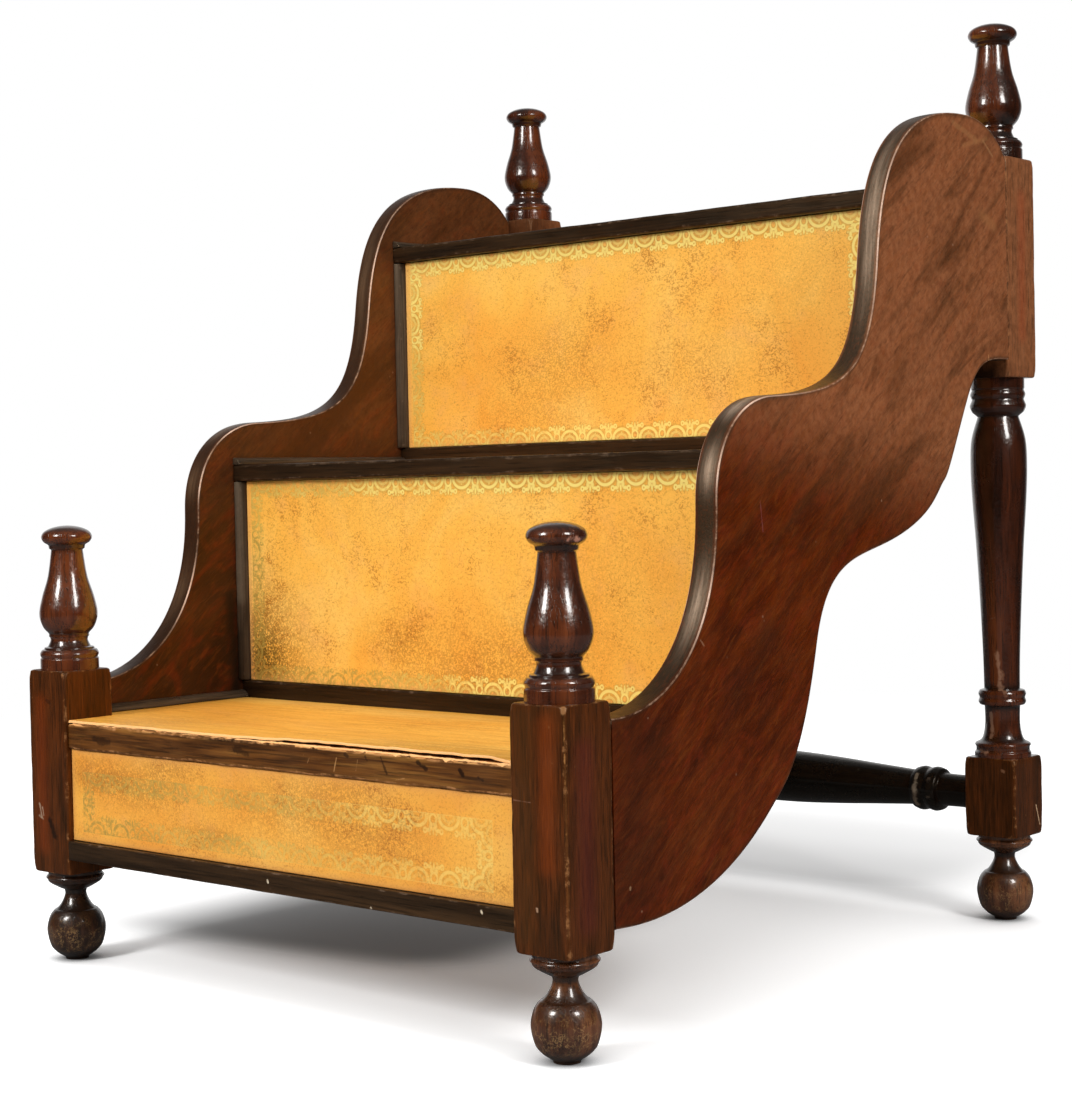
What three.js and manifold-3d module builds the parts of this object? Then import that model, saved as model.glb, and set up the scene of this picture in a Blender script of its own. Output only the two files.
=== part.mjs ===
// Library steps: three leather-faced treads between two ribbon-shaped sides, on four turned posts.
// Millimetres. X runs across the steps, Y from the front to the back and Z up from the floor.

import * as THREE from 'three';
import { mergeVertices } from 'three/addons/utils/BufferGeometryUtils.js';
import Module from 'manifold-3d';

const wasm = await Module();
wasm.setup();

// Driving dimensions of the whole
const overallWidth = 600;
const firstRise = 207; // floor to the first tread's leather
const treadRise = 213.7; // each tread to the next
const nosingSetback = 2.5; // first nosing behind the front posts' faces
const treadGoing = 215; // each nosing's front to the next
const topTreadDepth = 225.5; // top nosing's front to the rear posts' backs

// Posts, feet and finials
const postSide = 50;
const blockAboveTread = 41; // a post's block ends this far above the tread beside it
const rearLowerBlock = 70;
const rearUpperBlock = 193;
const footHeight = 76;
const finialHeight = 122;
const spigotRadius = 8;
const spigotLength = 20;

// Side panels
const panelThickness = 20;
const frontTopDrop = 13; // panel's top edge below the front post's top
const rearTopDrop = 3; // hump's end below the rear post's block top
const rearBottomLift = 15; // panel's lower edge above the rear upper block's lower end
const panelTenonShoulder = 16; // from the panel's edges to its tenons

// Treads and risers
const frontTreadThickness = 24;
const treadThickness = 15;
const treadLeather = 1.9;
const riserLeather = 1.5;
const nosingDepth = 12;
const nosingRound = 2.5;
const riserBoardThickness = 12;
const frontRiserSetback = 3; // first riser's leather behind its nosing
const riserSetback = 8; // the other risers' leather behind theirs
const riserRailHeight = 15.2;
const riserRailProud = 2.5; // the dark rail in front of the leather it stands under
const leatherFrontInset = 0.5;
const treadRearInset = 3;

// Beads
const sideBeadWidth = 9;
const sideBeadHeight = 6.5;
const cornerBeadRadius = 9;

// Rails and the turned stretcher
const bottomRailLift = 13.4; // above the front blocks' lower ends
const bottomRailHeight = 16.3;
const bottomRailDepth = 22;
const backRailHeight = 60;
const backRailThickness = 20;
const backRailInset = 4;
const stretcherRadius = 25;
const stretcherTenonRadius = 10;
const tenonThickness = 8;
const tenonLength = 14;
const railTenonShoulder = 3; // above and below a rail's tenon

// Bearers and glue blocks under the treads
const bearerWidth = 16;
const bearerHeight = 18;
const glueBlockSide = 22;
const glueBlockLength = 45;
const glueBlockOffset = 140; // from the middle of the steps

const fitGap = 0.3; // between pieces that meet
const cutOverrun = 2; // cuts and joins run past the faces by this
const turningSides = 16;

// Turned shapes. Each row is one smooth stretch between two crisp edges, from the bottom up, with
// its points as [share of the height, share of the post's half side].
const finialShares = [
  [[0, 0.985], [0.075, 0.985]],
  [[0.083, 0.94], [0.11, 0.99], [0.137, 0.92]],
  [[0.14, 0.84], [0.153, 0.84]],
  [[0.158, 0.72], [0.2, 0.63], [0.226, 0.64]],
  [[0.229, 0.68], [0.245, 0.67]],
  [[0.25, 0.67], [0.3, 0.87], [0.388, 0.98], [0.509, 0.868], [0.65, 0.66], [0.833, 0.53]],
  [[0.84, 0.6], [0.866, 0.62]],
  [[0.87, 0.65], [0.912, 0.85], [0.966, 0.7], [1, 0]],
];
const footShares = [
  [[0, 0.46], [0.05, 0.48]],
  [[0.055, 0.5], [0.18, 0.86], [0.35, 0.985], [0.5, 0.82], [0.6, 0.5], [0.7, 0.37], [0.78, 0.36]],
  [[0.785, 0.5], [0.83, 0.74], [0.9, 0.93], [0.945, 0.98]],
  [[0.955, 0.985], [1, 0.985]],
];
const columnShares = [
  [[0, 0.985], [0.012, 0.985]],
  [[0.016, 0.93], [0.026, 0.93]],
  [[0.03, 0.97], [0.036, 0.95], [0.048, 0.72], [0.085, 0.61], [0.135, 0.615]],
  [[0.138, 0.78], [0.147, 0.83], [0.155, 0.79]],
  [[0.158, 0.79], [0.167, 0.83], [0.176, 0.78]],
  [[0.179, 0.62], [0.28, 0.65], [0.42, 0.73], [0.56, 0.83], [0.68, 0.94], [0.77, 0.985], [0.84, 0.94], [0.9, 0.71]],
  [[0.912, 0.9], [0.927, 0.98], [0.941, 0.92]],
  [[0.945, 0.9], [0.958, 0.96], [0.97, 0.9]],
  [[0.974, 0.93], [1, 0.93]],
];
// The stretcher's half, as [share of the half length, share of its middle radius].
const stretcherShares = [
  [[0, 1], [0.22, 0.975], [0.41, 0.875], [0.56, 0.765], [0.75, 0.63]],
  [[0.755, 0.75], [0.78, 0.81], [0.803, 0.75]],
  [[0.808, 0.75], [0.832, 0.81], [0.855, 0.75]],
  [[0.862, 0.6], [0.93, 0.585], [1, 0.61]],
];

// The side panel's edges as Bezier curves, from front to back. Each row is handle, handle, end, in
// pairs of [goings from the front nosing, rises from the floor]. The last end lies on the rear post.
const panelTopShares = [
  [[0.515, 1.124], [0.804, 1.339], [0.804, 1.81]],
  [[0.804, 2.042], [0.959, 2.175], [1.145, 2.184]],
  [[1.613, 2.207], [1.787, 2.264], [1.84, 2.72]],
  [[1.88, 3.066], [2.02, 3.321], [2.481, 3.321]],
  [[2.6, 3.321], [2.707, 3.275], null],
];
const panelBottomShares = [
  [[0.276, 0.436], [0.702, 0.362], [1.103, 0.729]],
  [[1.182, 0.801], [1.293, 0.865], [1.397, 1.289]],
  [[1.469, 1.58], [1.642, 1.587], [1.864, 1.638]],
  [[2.21, 1.721], [2.236, 1.835], [2.29, 1.873]],
  [[2.323, 1.897], [2.387, 2.045], [2.468, 2.197]],
  [[2.552, 2.354], [2.63, 2.362], null],
];
const panelCurveSteps = 7;

// Places worked out from the sizes above
const overallDepth = nosingSetback + 2 * treadGoing + topTreadDepth;
const halfSide = postSide / 2;
const postInner = overallWidth / 2 - postSide; // the posts' inner faces
const panelInner = overallWidth / 2 - panelThickness; // the panels' inner faces
const rearPostFront = overallDepth - postSide;
const stepCount = 3;
const treadTop = (step) => firstRise + step * treadRise;
const treadFront = (step) => nosingSetback + step * treadGoing;
const boardTop = (step) => treadTop(step) - treadLeather - fitGap;
const boardBottom = (step) => treadTop(step) - (step === 0 ? frontTreadThickness : treadThickness);
const riserFace = (step) => treadFront(step) + (step === 0 ? frontRiserSetback : riserSetback);
const riserBoardFront = (step) => riserFace(step) + riserLeather + fitGap;
const riserBoardBack = (step) => riserBoardFront(step) + riserBoardThickness;
const riserRailFront = (step) => riserFace(step) - riserRailProud;
const riserRailTop = (step) => treadTop(step - 1) + riserRailHeight;
const frontBlockTop = treadTop(0) + blockAboveTread;
const rearLowerTop = footHeight + rearLowerBlock;
const rearUpperTop = treadTop(stepCount - 1) + blockAboveTread;
const rearUpperBottom = rearUpperTop - rearUpperBlock;
const bottomRailBottom = footHeight + bottomRailLift;
const bottomRailTop = bottomRailBottom + bottomRailHeight;
const stretcherHeight = footHeight + rearLowerBlock / 2;
const panelFrontTop = frontBlockTop - frontTopDrop;
const panelRearTop = rearUpperTop - rearTopDrop;
const panelRearBottom = rearUpperBottom + rearBottomLift;
const backRailTop = boardBottom(stepCount - 1) - fitGap;
const backRailMiddle = overallDepth - backRailInset - backRailThickness / 2;

const steps = new THREE.Group();
steps.position.y = -overallDepth / 2;

// Materials: one of its own for each piece
const finish = (color, roughness) => new THREE.MeshStandardMaterial({ color, roughness, metalness: 0 });
const mahogany = () => finish(0x5a2a16, 0.32);
const panelMahogany = () => finish(0x6b3520, 0.38);
const darkMahogany = () => finish(0x2e1a12, 0.4);
const wornMahogany = () => finish(0x5d3c22, 0.6);
const leather = () => finish(0xdb9c4a, 0.6);
const boardWood = () => finish(0x8a6a45, 0.8);

function addPiece(name, geometry, material, place = [0, 0, 0]) {
  const piece = new THREE.Mesh(geometry, material);
  piece.name = name;
  piece.position.set(...place);
  steps.add(piece);
  return piece;
}

// A closed geometry as a solid that can be joined and cut
function toSolid(geometry) {
  const bare = geometry.index ? geometry.toNonIndexed() : geometry.clone();
  bare.deleteAttribute('normal');
  bare.deleteAttribute('uv');
  const merged = mergeVertices(bare, 1e-4);
  const corners = [];
  for (let i = 0; i < merged.index.count; i += 3) {
    const [a, b, c] = [merged.index.getX(i), merged.index.getX(i + 1), merged.index.getX(i + 2)];
    if (a !== b && b !== c && c !== a) corners.push(a, b, c);
  }
  const mesh = new wasm.Mesh({
    numProp: 3,
    vertProperties: new Float32Array(merged.attributes.position.array),
    triVerts: new Uint32Array(corners),
  });
  return new wasm.Manifold(mesh);
}

function toGeometry(solid) {
  const mesh = solid.getMesh();
  const geometry = new THREE.BufferGeometry();
  geometry.setAttribute('position', new THREE.BufferAttribute(new Float32Array(mesh.vertProperties), 3));
  geometry.setIndex(new THREE.BufferAttribute(new Uint32Array(mesh.triVerts), 1));
  const flat = geometry.toNonIndexed();
  flat.computeVertexNormals();
  return flat;
}

// A box between two corners
function boxBetween(low, high) {
  const size = high.map((value, axis) => value - low[axis]);
  const geometry = new THREE.BoxGeometry(...size);
  geometry.translate(...low.map((value, axis) => value + size[axis] / 2));
  return geometry;
}

// A cylinder along Z from one height to another
function upright(radius, low, high) {
  const geometry = new THREE.CylinderGeometry(radius, radius, high - low, turningSides);
  geometry.rotateX(Math.PI / 2);
  geometry.translate(0, 0, (low + high) / 2);
  return geometry;
}

// The points of a turned profile: straight rows stay as they are and longer ones become a spline
function profilePoints(shares, height, radius) {
  return shares.flatMap((row) => {
    const points = row.map(([up, out]) => new THREE.Vector2(out * radius, up * height));
    return points.length > 2 ? new THREE.SplineCurve(points).getPoints(points.length + 1) : points;
  });
}

// A turning about Z from profile points, closed on its axis at both ends
function turning(points) {
  const first = new THREE.Vector2(0, points[0].y);
  const last = new THREE.Vector2(0, points[points.length - 1].y);
  const open = points[points.length - 1].x > 0;
  const geometry = new THREE.LatheGeometry(open ? [first, ...points, last] : [first, ...points], turningSides);
  geometry.rotateX(Math.PI / 2);
  return geometry;
}

// Sockets for a foot's or finial's spigot, in a block's lower or upper end
const socketBelow = (end) => upright(spigotRadius + fitGap, end - cutOverrun, end + spigotLength + fitGap);
const socketAbove = (end) => upright(spigotRadius + fitGap, end - spigotLength - fitGap, end + cutOverrun);

// The tenons of a side panel, as the heights that they span
const frontTenon = [bottomRailBottom + panelTenonShoulder, panelFrontTop - panelTenonShoulder];
const rearTenon = [panelRearBottom + panelTenonShoulder, panelRearTop - panelTenonShoulder];

// A mortise for a side panel, in a post's own frame. Facing is 1 in the rear face and -1 in the front one.
function panelMortise(side, facing, [low, high]) {
  const middle = side * (halfSide - panelThickness / 2);
  const half = tenonThickness / 2 + fitGap;
  const ends = [facing * (halfSide - tenonLength - fitGap), facing * (halfSide + cutOverrun)];
  return boxBetween(
    [middle - half, Math.min(...ends), low - fitGap],
    [middle + half, Math.max(...ends), high + fitGap],
  );
}

// A mortise for a cross rail, in a post's inner face
function railMortise(side, middleY, low, high) {
  const half = tenonThickness / 2 + fitGap;
  const ends = [-side * (halfSide - tenonLength - fitGap), -side * (halfSide + cutOverrun)];
  return boxBetween(
    [Math.min(...ends), middleY - half, low - fitGap],
    [Math.max(...ends), middleY + half, high + fitGap],
  );
}

function frontPost(side) {
  const block = toSolid(boxBetween([-halfSide, -halfSide, footHeight], [halfSide, halfSide, frontBlockTop]));
  const railLow = bottomRailBottom + railTenonShoulder;
  const railHigh = bottomRailTop - railTenonShoulder;
  const cuts = [
    socketBelow(footHeight),
    socketAbove(frontBlockTop),
    panelMortise(side, 1, frontTenon),
    railMortise(side, bottomRailDepth / 2 - halfSide, railLow, railHigh),
  ];
  return toGeometry(cuts.reduce((solid, cut) => solid.subtract(toSolid(cut)), block));
}

function rearPost(side) {
  const columnHeight = rearUpperBottom - rearLowerTop;
  const column = turning(profilePoints(columnShares, columnHeight, halfSide));
  column.translate(0, 0, rearLowerTop);
  const blocks = [
    boxBetween([-halfSide, -halfSide, footHeight], [halfSide, halfSide, rearLowerTop]),
    boxBetween([-halfSide, -halfSide, rearUpperBottom], [halfSide, halfSide, rearUpperTop]),
    upright(spigotRadius, rearLowerTop - cutOverrun, rearUpperBottom + cutOverrun),
  ];
  const stretcherSocket = upright(stretcherTenonRadius + fitGap, halfSide - tenonLength - fitGap, halfSide + cutOverrun);
  stretcherSocket.rotateY(-side * Math.PI / 2);
  stretcherSocket.translate(0, 0, stretcherHeight);
  const railLow = backRailTop - backRailHeight + panelTenonShoulder;
  const railHigh = backRailTop - panelTenonShoulder;
  const cuts = [
    socketBelow(footHeight),
    socketAbove(rearUpperTop),
    panelMortise(side, -1, rearTenon),
    railMortise(side, backRailMiddle - (overallDepth - halfSide), railLow, railHigh),
    stretcherSocket,
  ];
  const whole = blocks.reduce((solid, block) => solid.add(toSolid(block)), toSolid(column));
  return toGeometry(cuts.reduce((solid, cut) => solid.subtract(toSolid(cut)), whole));
}

// A finial with its spigot below, from its seat up
function finial() {
  const spigot = [
    new THREE.Vector2(spigotRadius, -spigotLength),
    new THREE.Vector2(spigotRadius, 0),
  ];
  return turning([...spigot, ...profilePoints(finialShares, finialHeight - fitGap, halfSide)]);
}

// A foot with its spigot above, from the floor up
function foot() {
  const shoulder = footHeight - fitGap;
  const spigot = [
    new THREE.Vector2(spigotRadius, shoulder),
    new THREE.Vector2(spigotRadius, shoulder + spigotLength),
  ];
  return turning([...profilePoints(footShares, shoulder, halfSide), ...spigot]);
}

for (const [sideName, side] of [['left', -1], ['right', 1]]) {
  const across = side * (overallWidth / 2 - halfSide);
  const backY = overallDepth - halfSide;
  addPiece(`front_${sideName}_post`, frontPost(side), mahogany(), [across, halfSide, 0]);
  addPiece(`rear_${sideName}_post`, rearPost(side), mahogany(), [across, backY, 0]);
  addPiece(`front_${sideName}_foot`, foot(), mahogany(), [across, halfSide, 0]);
  addPiece(`rear_${sideName}_foot`, foot(), mahogany(), [across, backY, 0]);
  addPiece(`front_${sideName}_finial`, finial(), mahogany(), [across, halfSide, frontBlockTop + fitGap]);
  addPiece(`rear_${sideName}_finial`, finial(), mahogany(), [across, backY, rearUpperTop + fitGap]);
}

// A place on the panel from a count of goings and rises
function onPanel([goings, rises]) {
  const along = nosingSetback + Math.min(goings, 2) * treadGoing + Math.max(goings - 2, 0) * topTreadDepth;
  const up = Math.min(rises, 1) * firstRise + Math.max(rises - 1, 0) * treadRise;
  return new THREE.Vector2(along, up);
}

// One edge of the panel, from the front post to the rear one
function panelEdge(rows, start, end) {
  const points = [start];
  let from = start;
  for (const [first, second, last] of rows) {
    const to = last ? onPanel(last) : end;
    const curve = new THREE.CubicBezierCurve(from, onPanel(first), onPanel(second), to);
    points.push(...curve.getPoints(panelCurveSteps).slice(1));
    from = to;
  }
  return points;
}

// A side panel about its own middle plane, with a tenon at each end
function sidePanel() {
  const front = postSide + fitGap;
  const rear = rearPostFront - fitGap;
  const top = panelEdge(panelTopShares, new THREE.Vector2(front, panelFrontTop), new THREE.Vector2(rear, panelRearTop));
  const lowStart = new THREE.Vector2(front, bottomRailBottom);
  const bottom = panelEdge(panelBottomShares, lowStart, new THREE.Vector2(rear, panelRearBottom));
  const outline = new THREE.Shape([...bottom, ...top.reverse()]);
  const board = new THREE.ExtrudeGeometry(outline, { depth: panelThickness, bevelEnabled: false, curveSegments: 1 });
  board.translate(0, 0, -panelThickness / 2);
  const [acrossAxis, alongAxis, upAxis] = [[1, 0, 0], [0, 1, 0], [0, 0, 1]].map((axis) => new THREE.Vector3(...axis));
  board.applyMatrix4(new THREE.Matrix4().makeBasis(alongAxis, upAxis, acrossAxis));
  const half = tenonThickness / 2;
  const tenons = [
    boxBetween([-half, postSide - tenonLength, frontTenon[0]], [half, front + cutOverrun, frontTenon[1]]),
    boxBetween([-half, rear - cutOverrun, rearTenon[0]], [half, rearPostFront + tenonLength, rearTenon[1]]),
  ];
  return toGeometry(tenons.reduce((solid, tenon) => solid.add(toSolid(tenon)), toSolid(board)));
}

for (const [sideName, side] of [['left', -1], ['right', 1]]) {
  addPiece(`${sideName}_side_panel`, sidePanel(), panelMahogany(), [side * (overallWidth - panelThickness) / 2, 0, 0]);
}

// A cross rail between two posts with a tenon at each end, about its own middle
function crossRail(depth, height, shoulder) {
  const half = postInner - fitGap;
  const rail = boxBetween([-half, -depth / 2, -height / 2], [half, depth / 2, height / 2]);
  const tenonHalf = [tenonThickness / 2, height / 2 - shoulder];
  const reach = postInner + tenonLength;
  const tenon = boxBetween([-reach, -tenonHalf[0], -tenonHalf[1]], [reach, tenonHalf[0], tenonHalf[1]]);
  return toGeometry(toSolid(rail).add(toSolid(tenon)));
}

addPiece(
  'front_bottom_rail',
  crossRail(bottomRailDepth, bottomRailHeight, railTenonShoulder),
  darkMahogany(),
  [0, bottomRailDepth / 2, (bottomRailBottom + bottomRailTop) / 2],
);
addPiece(
  'back_rail',
  crossRail(backRailThickness, backRailHeight, panelTenonShoulder),
  mahogany(),
  [0, backRailMiddle, backRailTop - backRailHeight / 2],
);

// The stretcher is turned about Z and then laid along X
function stretcher() {
  const halfLength = postInner - fitGap;
  const half = profilePoints(stretcherShares, halfLength, stretcherRadius);
  const mirrored = half.slice(1).reverse().map((point) => new THREE.Vector2(point.x, -point.y));
  const end = postInner + tenonLength;
  const tenonEnds = [end, halfLength].map((place) => new THREE.Vector2(stretcherTenonRadius, place));
  const lower = tenonEnds.map((point) => new THREE.Vector2(point.x, -point.y));
  const geometry = turning([...lower, ...mirrored, ...half, ...tenonEnds.reverse()]);
  geometry.rotateY(Math.PI / 2);
  return geometry;
}

addPiece('rear_stretcher', stretcher(), darkMahogany(), [0, overallDepth - halfSide, stretcherHeight]);

// A flat plate made of bands from the front to the back, each with its own half width
function bandedPlate(front, bands, thickness) {
  const right = [];
  let from = front;
  for (const { half, to } of bands) {
    right.push(new THREE.Vector2(half, from), new THREE.Vector2(half, to));
    from = to;
  }
  const left = right.map((point) => new THREE.Vector2(-point.x, point.y)).reverse();
  return new THREE.ExtrudeGeometry(new THREE.Shape([...right, ...left]), { depth: thickness, bevelEnabled: false });
}

// A tread's bands: it narrows between the front posts on the first step and between the rear ones on the last
function treadBands(step, rear) {
  const narrow = postInner - fitGap;
  const wide = panelInner - fitGap;
  if (step === 0) return [{ half: narrow, to: postSide + fitGap }, { half: wide, to: rear }];
  if (step === stepCount - 1) return [{ half: wide, to: rearPostFront - fitGap }, { half: narrow, to: rear }];
  return [{ half: wide, to: rear }];
}

// A bar along X with its front edges rounded, between two heights
function nosingBar(half, low, high) {
  const outline = new THREE.Shape();
  outline.moveTo(nosingDepth, low);
  outline.lineTo(nosingDepth, high);
  outline.lineTo(nosingRound, high);
  outline.absarc(nosingRound, high - nosingRound, nosingRound, Math.PI / 2, Math.PI, false);
  outline.absarc(nosingRound, low + nosingRound, nosingRound, Math.PI, 1.5 * Math.PI, false);
  const bar = new THREE.ExtrudeGeometry(outline, { depth: 2 * half, bevelEnabled: false, curveSegments: 3 });
  bar.translate(0, 0, -half);
  const [acrossAxis, alongAxis, upAxis] = [[1, 0, 0], [0, 1, 0], [0, 0, 1]].map((axis) => new THREE.Vector3(...axis));
  bar.applyMatrix4(new THREE.Matrix4().makeBasis(alongAxis, upAxis, acrossAxis));
  return bar;
}

const stepNames = ['low', 'middle', 'top'];
stepNames.forEach((stepName, step) => {
  const last = step === stepCount - 1;
  const nosingHalf = (step === 0 ? postInner : panelInner) - fitGap;
  const nosingTop = step === 0 ? boardTop(step) : treadTop(step);
  const boardFront = treadFront(step) + nosingDepth + fitGap;
  const boardRear = last ? overallDepth - treadRearInset : riserBoardBack(step + 1);
  const leatherFront = step === 0 ? treadFront(step) + leatherFrontInset : boardFront;
  const leatherRear = last ? boardRear : riserRailFront(step + 1) - fitGap;
  const nosing = nosingBar(nosingHalf, boardBottom(step), nosingTop);
  const boardHeight = boardTop(step) - boardBottom(step);
  const board = bandedPlate(boardFront, treadBands(step, boardRear), boardHeight);
  const cover = bandedPlate(leatherFront, treadBands(step, leatherRear), treadLeather);
  addPiece(`${stepName}_tread_nosing`, nosing, step === 0 ? wornMahogany() : darkMahogany(), [0, treadFront(step), 0]);
  addPiece(`${stepName}_tread_board`, board, boardWood(), [0, 0, boardBottom(step)]);
  addPiece(`${stepName}_tread_leather`, cover, leather(), [0, 0, boardTop(step) + fitGap]);
});

// A riser's board, its leather and, from the second step up, the rail at its foot
stepNames.forEach((stepName, step) => {
  const first = step === 0;
  const boardHalf = (first ? postInner : panelInner) - fitGap;
  const leatherHalf = first ? boardHalf : panelInner - cornerBeadRadius - fitGap;
  const boardLow = (first ? bottomRailTop : boardTop(step - 1)) + fitGap;
  const leatherLow = (first ? bottomRailTop : riserRailTop(step)) + fitGap;
  const high = boardBottom(step) - fitGap;
  const board = boxBetween([-boardHalf, riserBoardFront(step), boardLow], [boardHalf, riserBoardBack(step), high]);
  const face = riserFace(step);
  const cover = boxBetween([-leatherHalf, face, leatherLow], [leatherHalf, face + riserLeather, high]);
  addPiece(`${stepName}_riser_board`, board, boardWood());
  addPiece(`${stepName}_riser_leather`, cover, leather());
  if (!first) {
    const railBack = riserBoardFront(step) - fitGap;
    const rail = boxBetween([-boardHalf, riserRailFront(step), boardLow], [boardHalf, railBack, riserRailTop(step)]);
    addPiece(`${stepName}_riser_rail`, rail, darkMahogany());
  }
});

// A quarter round as a flat shape about its corner, reaching along both given ways
const quarterSteps = 5;
function quarterRound(reachX, reachY) {
  const points = [new THREE.Vector2(0, 0)];
  for (let i = 0; i <= quarterSteps; i += 1) {
    const angle = (i / quarterSteps) * (Math.PI / 2);
    points.push(new THREE.Vector2(reachX * Math.cos(angle), reachY * Math.sin(angle)));
  }
  return new THREE.Shape(points);
}

// Beads, bearers and glue blocks, on both sides of each step
for (const [sideName, side] of [['left', -1], ['right', 1]]) {
  const wall = side * (panelInner - fitGap);
  stepNames.forEach((stepName, step) => {
    const first = step === 0;
    const last = step === stepCount - 1;
    const beadFront = first ? postSide + fitGap : treadFront(step);
    const beadRear = (last ? rearPostFront : riserRailFront(step + 1)) - fitGap;
    const beadShape = quarterRound(-side * sideBeadWidth, sideBeadHeight);
    const bead = new THREE.ExtrudeGeometry(beadShape, { depth: beadRear - beadFront, bevelEnabled: false });
    const beadPiece = addPiece(`${stepName}_${sideName}_tread_bead`, bead, darkMahogany());
    beadPiece.rotation.x = Math.PI / 2;
    beadPiece.position.set(wall, beadRear, treadTop(step) + fitGap);

    if (!first) {
      const low = riserRailTop(step) + fitGap;
      const high = boardBottom(step) - fitGap;
      const cornerShape = quarterRound(-side * cornerBeadRadius, -cornerBeadRadius);
      const corner = new THREE.ExtrudeGeometry(cornerShape, { depth: high - low, bevelEnabled: false });
      const place = [wall, riserBoardFront(step) - fitGap, low];
      addPiece(`${stepName}_${sideName}_corner_bead`, corner, darkMahogany(), place);
    }

    const bearerFront = (first ? postSide : riserBoardBack(step)) + fitGap;
    const bearerRear = last ? rearPostFront - fitGap : riserBoardBack(step + 1);
    const bearerTop = boardBottom(step) - fitGap;
    const bearerEnds = [wall, wall - side * bearerWidth];
    const bearer = boxBetween(
      [Math.min(...bearerEnds), bearerFront, bearerTop - bearerHeight],
      [Math.max(...bearerEnds), bearerRear, bearerTop],
    );
    addPiece(`${stepName}_${sideName}_bearer`, bearer, boardWood());

    const wedge = new THREE.Shape([
      new THREE.Vector2(0, 0),
      new THREE.Vector2(0, -glueBlockSide),
      new THREE.Vector2(glueBlockSide, 0),
    ]);
    const block = new THREE.ExtrudeGeometry(wedge, { depth: glueBlockLength, bevelEnabled: false });
    block.translate(0, 0, -glueBlockLength / 2);
    const axes = [[0, 1, 0], [0, 0, 1], [1, 0, 0]].map((axis) => new THREE.Vector3(...axis));
    block.applyMatrix4(new THREE.Matrix4().makeBasis(...axes));
    const place = [side * glueBlockOffset, riserBoardBack(step) + fitGap, boardBottom(step) - fitGap];
    addPiece(`${stepName}_${sideName}_glue_block`, block, boardWood(), place);
  });
}

export default steps;
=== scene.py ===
import math
import bpy
import numpy as np
from mathutils import Matrix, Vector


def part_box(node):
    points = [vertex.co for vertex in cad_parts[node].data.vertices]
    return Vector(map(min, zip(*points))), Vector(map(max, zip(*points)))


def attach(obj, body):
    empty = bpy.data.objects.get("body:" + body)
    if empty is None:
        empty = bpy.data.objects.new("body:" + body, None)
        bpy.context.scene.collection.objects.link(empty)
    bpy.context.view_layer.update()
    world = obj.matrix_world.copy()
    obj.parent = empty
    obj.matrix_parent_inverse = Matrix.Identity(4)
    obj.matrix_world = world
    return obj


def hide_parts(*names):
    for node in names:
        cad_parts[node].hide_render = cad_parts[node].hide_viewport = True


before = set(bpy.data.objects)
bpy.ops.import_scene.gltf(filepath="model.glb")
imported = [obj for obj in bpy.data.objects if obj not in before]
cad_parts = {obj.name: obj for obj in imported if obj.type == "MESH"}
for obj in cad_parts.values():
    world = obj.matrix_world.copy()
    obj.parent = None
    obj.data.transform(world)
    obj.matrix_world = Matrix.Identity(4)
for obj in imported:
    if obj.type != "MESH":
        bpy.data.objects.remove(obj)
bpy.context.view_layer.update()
mm = 0.001
print("frame:", len(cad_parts), "nodes")

# sizes of the whole in millimetres, as the solids have them
steps = {
    "width": 600, "depth": 658, "postSide": 50, "panelThickness": 20,
    "firstRise": 207, "rise": 213.7, "noseSetback": 2.5, "going": 215, "topDepth": 225.5,
    "footHeight": 76, "frontBlockTop": 248, "rearLowerBlock": 70, "rearUpperBlock": 193,
    "rearTop": 675.4,
}
frontY = -steps["depth"] / 2
halfPost = steps["postSide"] / 2


# camera
# placed by matching the posts, treads and feet of the photograph
lookout = {
    "place": (1.23306, -1.42368, 0.39547),
    "right": (0.74235, 0.66968, -0.02107),
    "up": (-0.00149, 0.03309, 0.99945),
    "ahead": (-0.67001, 0.74191, -0.02556),
    "lens": 70.63, "shiftX": 0.0338, "shiftY": -0.0071,
}


def addObject(name, data):
    made = bpy.data.objects.new(name, data)
    bpy.context.scene.collection.objects.link(made)
    return made


def placeCamera():
    data = bpy.data.cameras.new("lookout")
    data.lens = lookout["lens"]
    data.sensor_width = 36
    data.sensor_fit = "AUTO"
    data.shift_x = lookout["shiftX"]
    data.shift_y = lookout["shiftY"]
    data.clip_start = 0.05
    data.clip_end = 200
    camera = addObject("lookout", data)
    turn = np.eye(4)
    turn[:3, 0] = lookout["right"]
    turn[:3, 1] = lookout["up"]
    turn[:3, 2] = -np.array(lookout["ahead"])
    turn[:3, 3] = lookout["place"]
    camera.matrix_world = Matrix(turn.tolist())
    bpy.context.scene.camera = camera


placeCamera()
print("camera placed")


# making surfaces
def waver(t, seed, length, reach):
    # a soft irregular line: five sine waves, each shorter and weaker, with fixed random phases
    rng = np.random.default_rng(seed)
    shorter = np.array([1, 1.7, 2.9, 4.7, 7.9])
    phases = rng.uniform(0, 2 * np.pi, 5)
    waves = np.sin(2 * np.pi * np.asarray(t, float)[..., None] * shorter / length + phases) / shorter ** 0.7
    return reach * waves.sum(-1) / 2.2  # the five together reach about 2.2


def boxOf(node):
    # a solid's lowest and highest corner in millimetres
    return [np.array(corner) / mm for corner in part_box(node)]


def pieceName(node):
    first, *others = node.split("_")
    return first + "".join(word.capitalize() for word in others)


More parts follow.
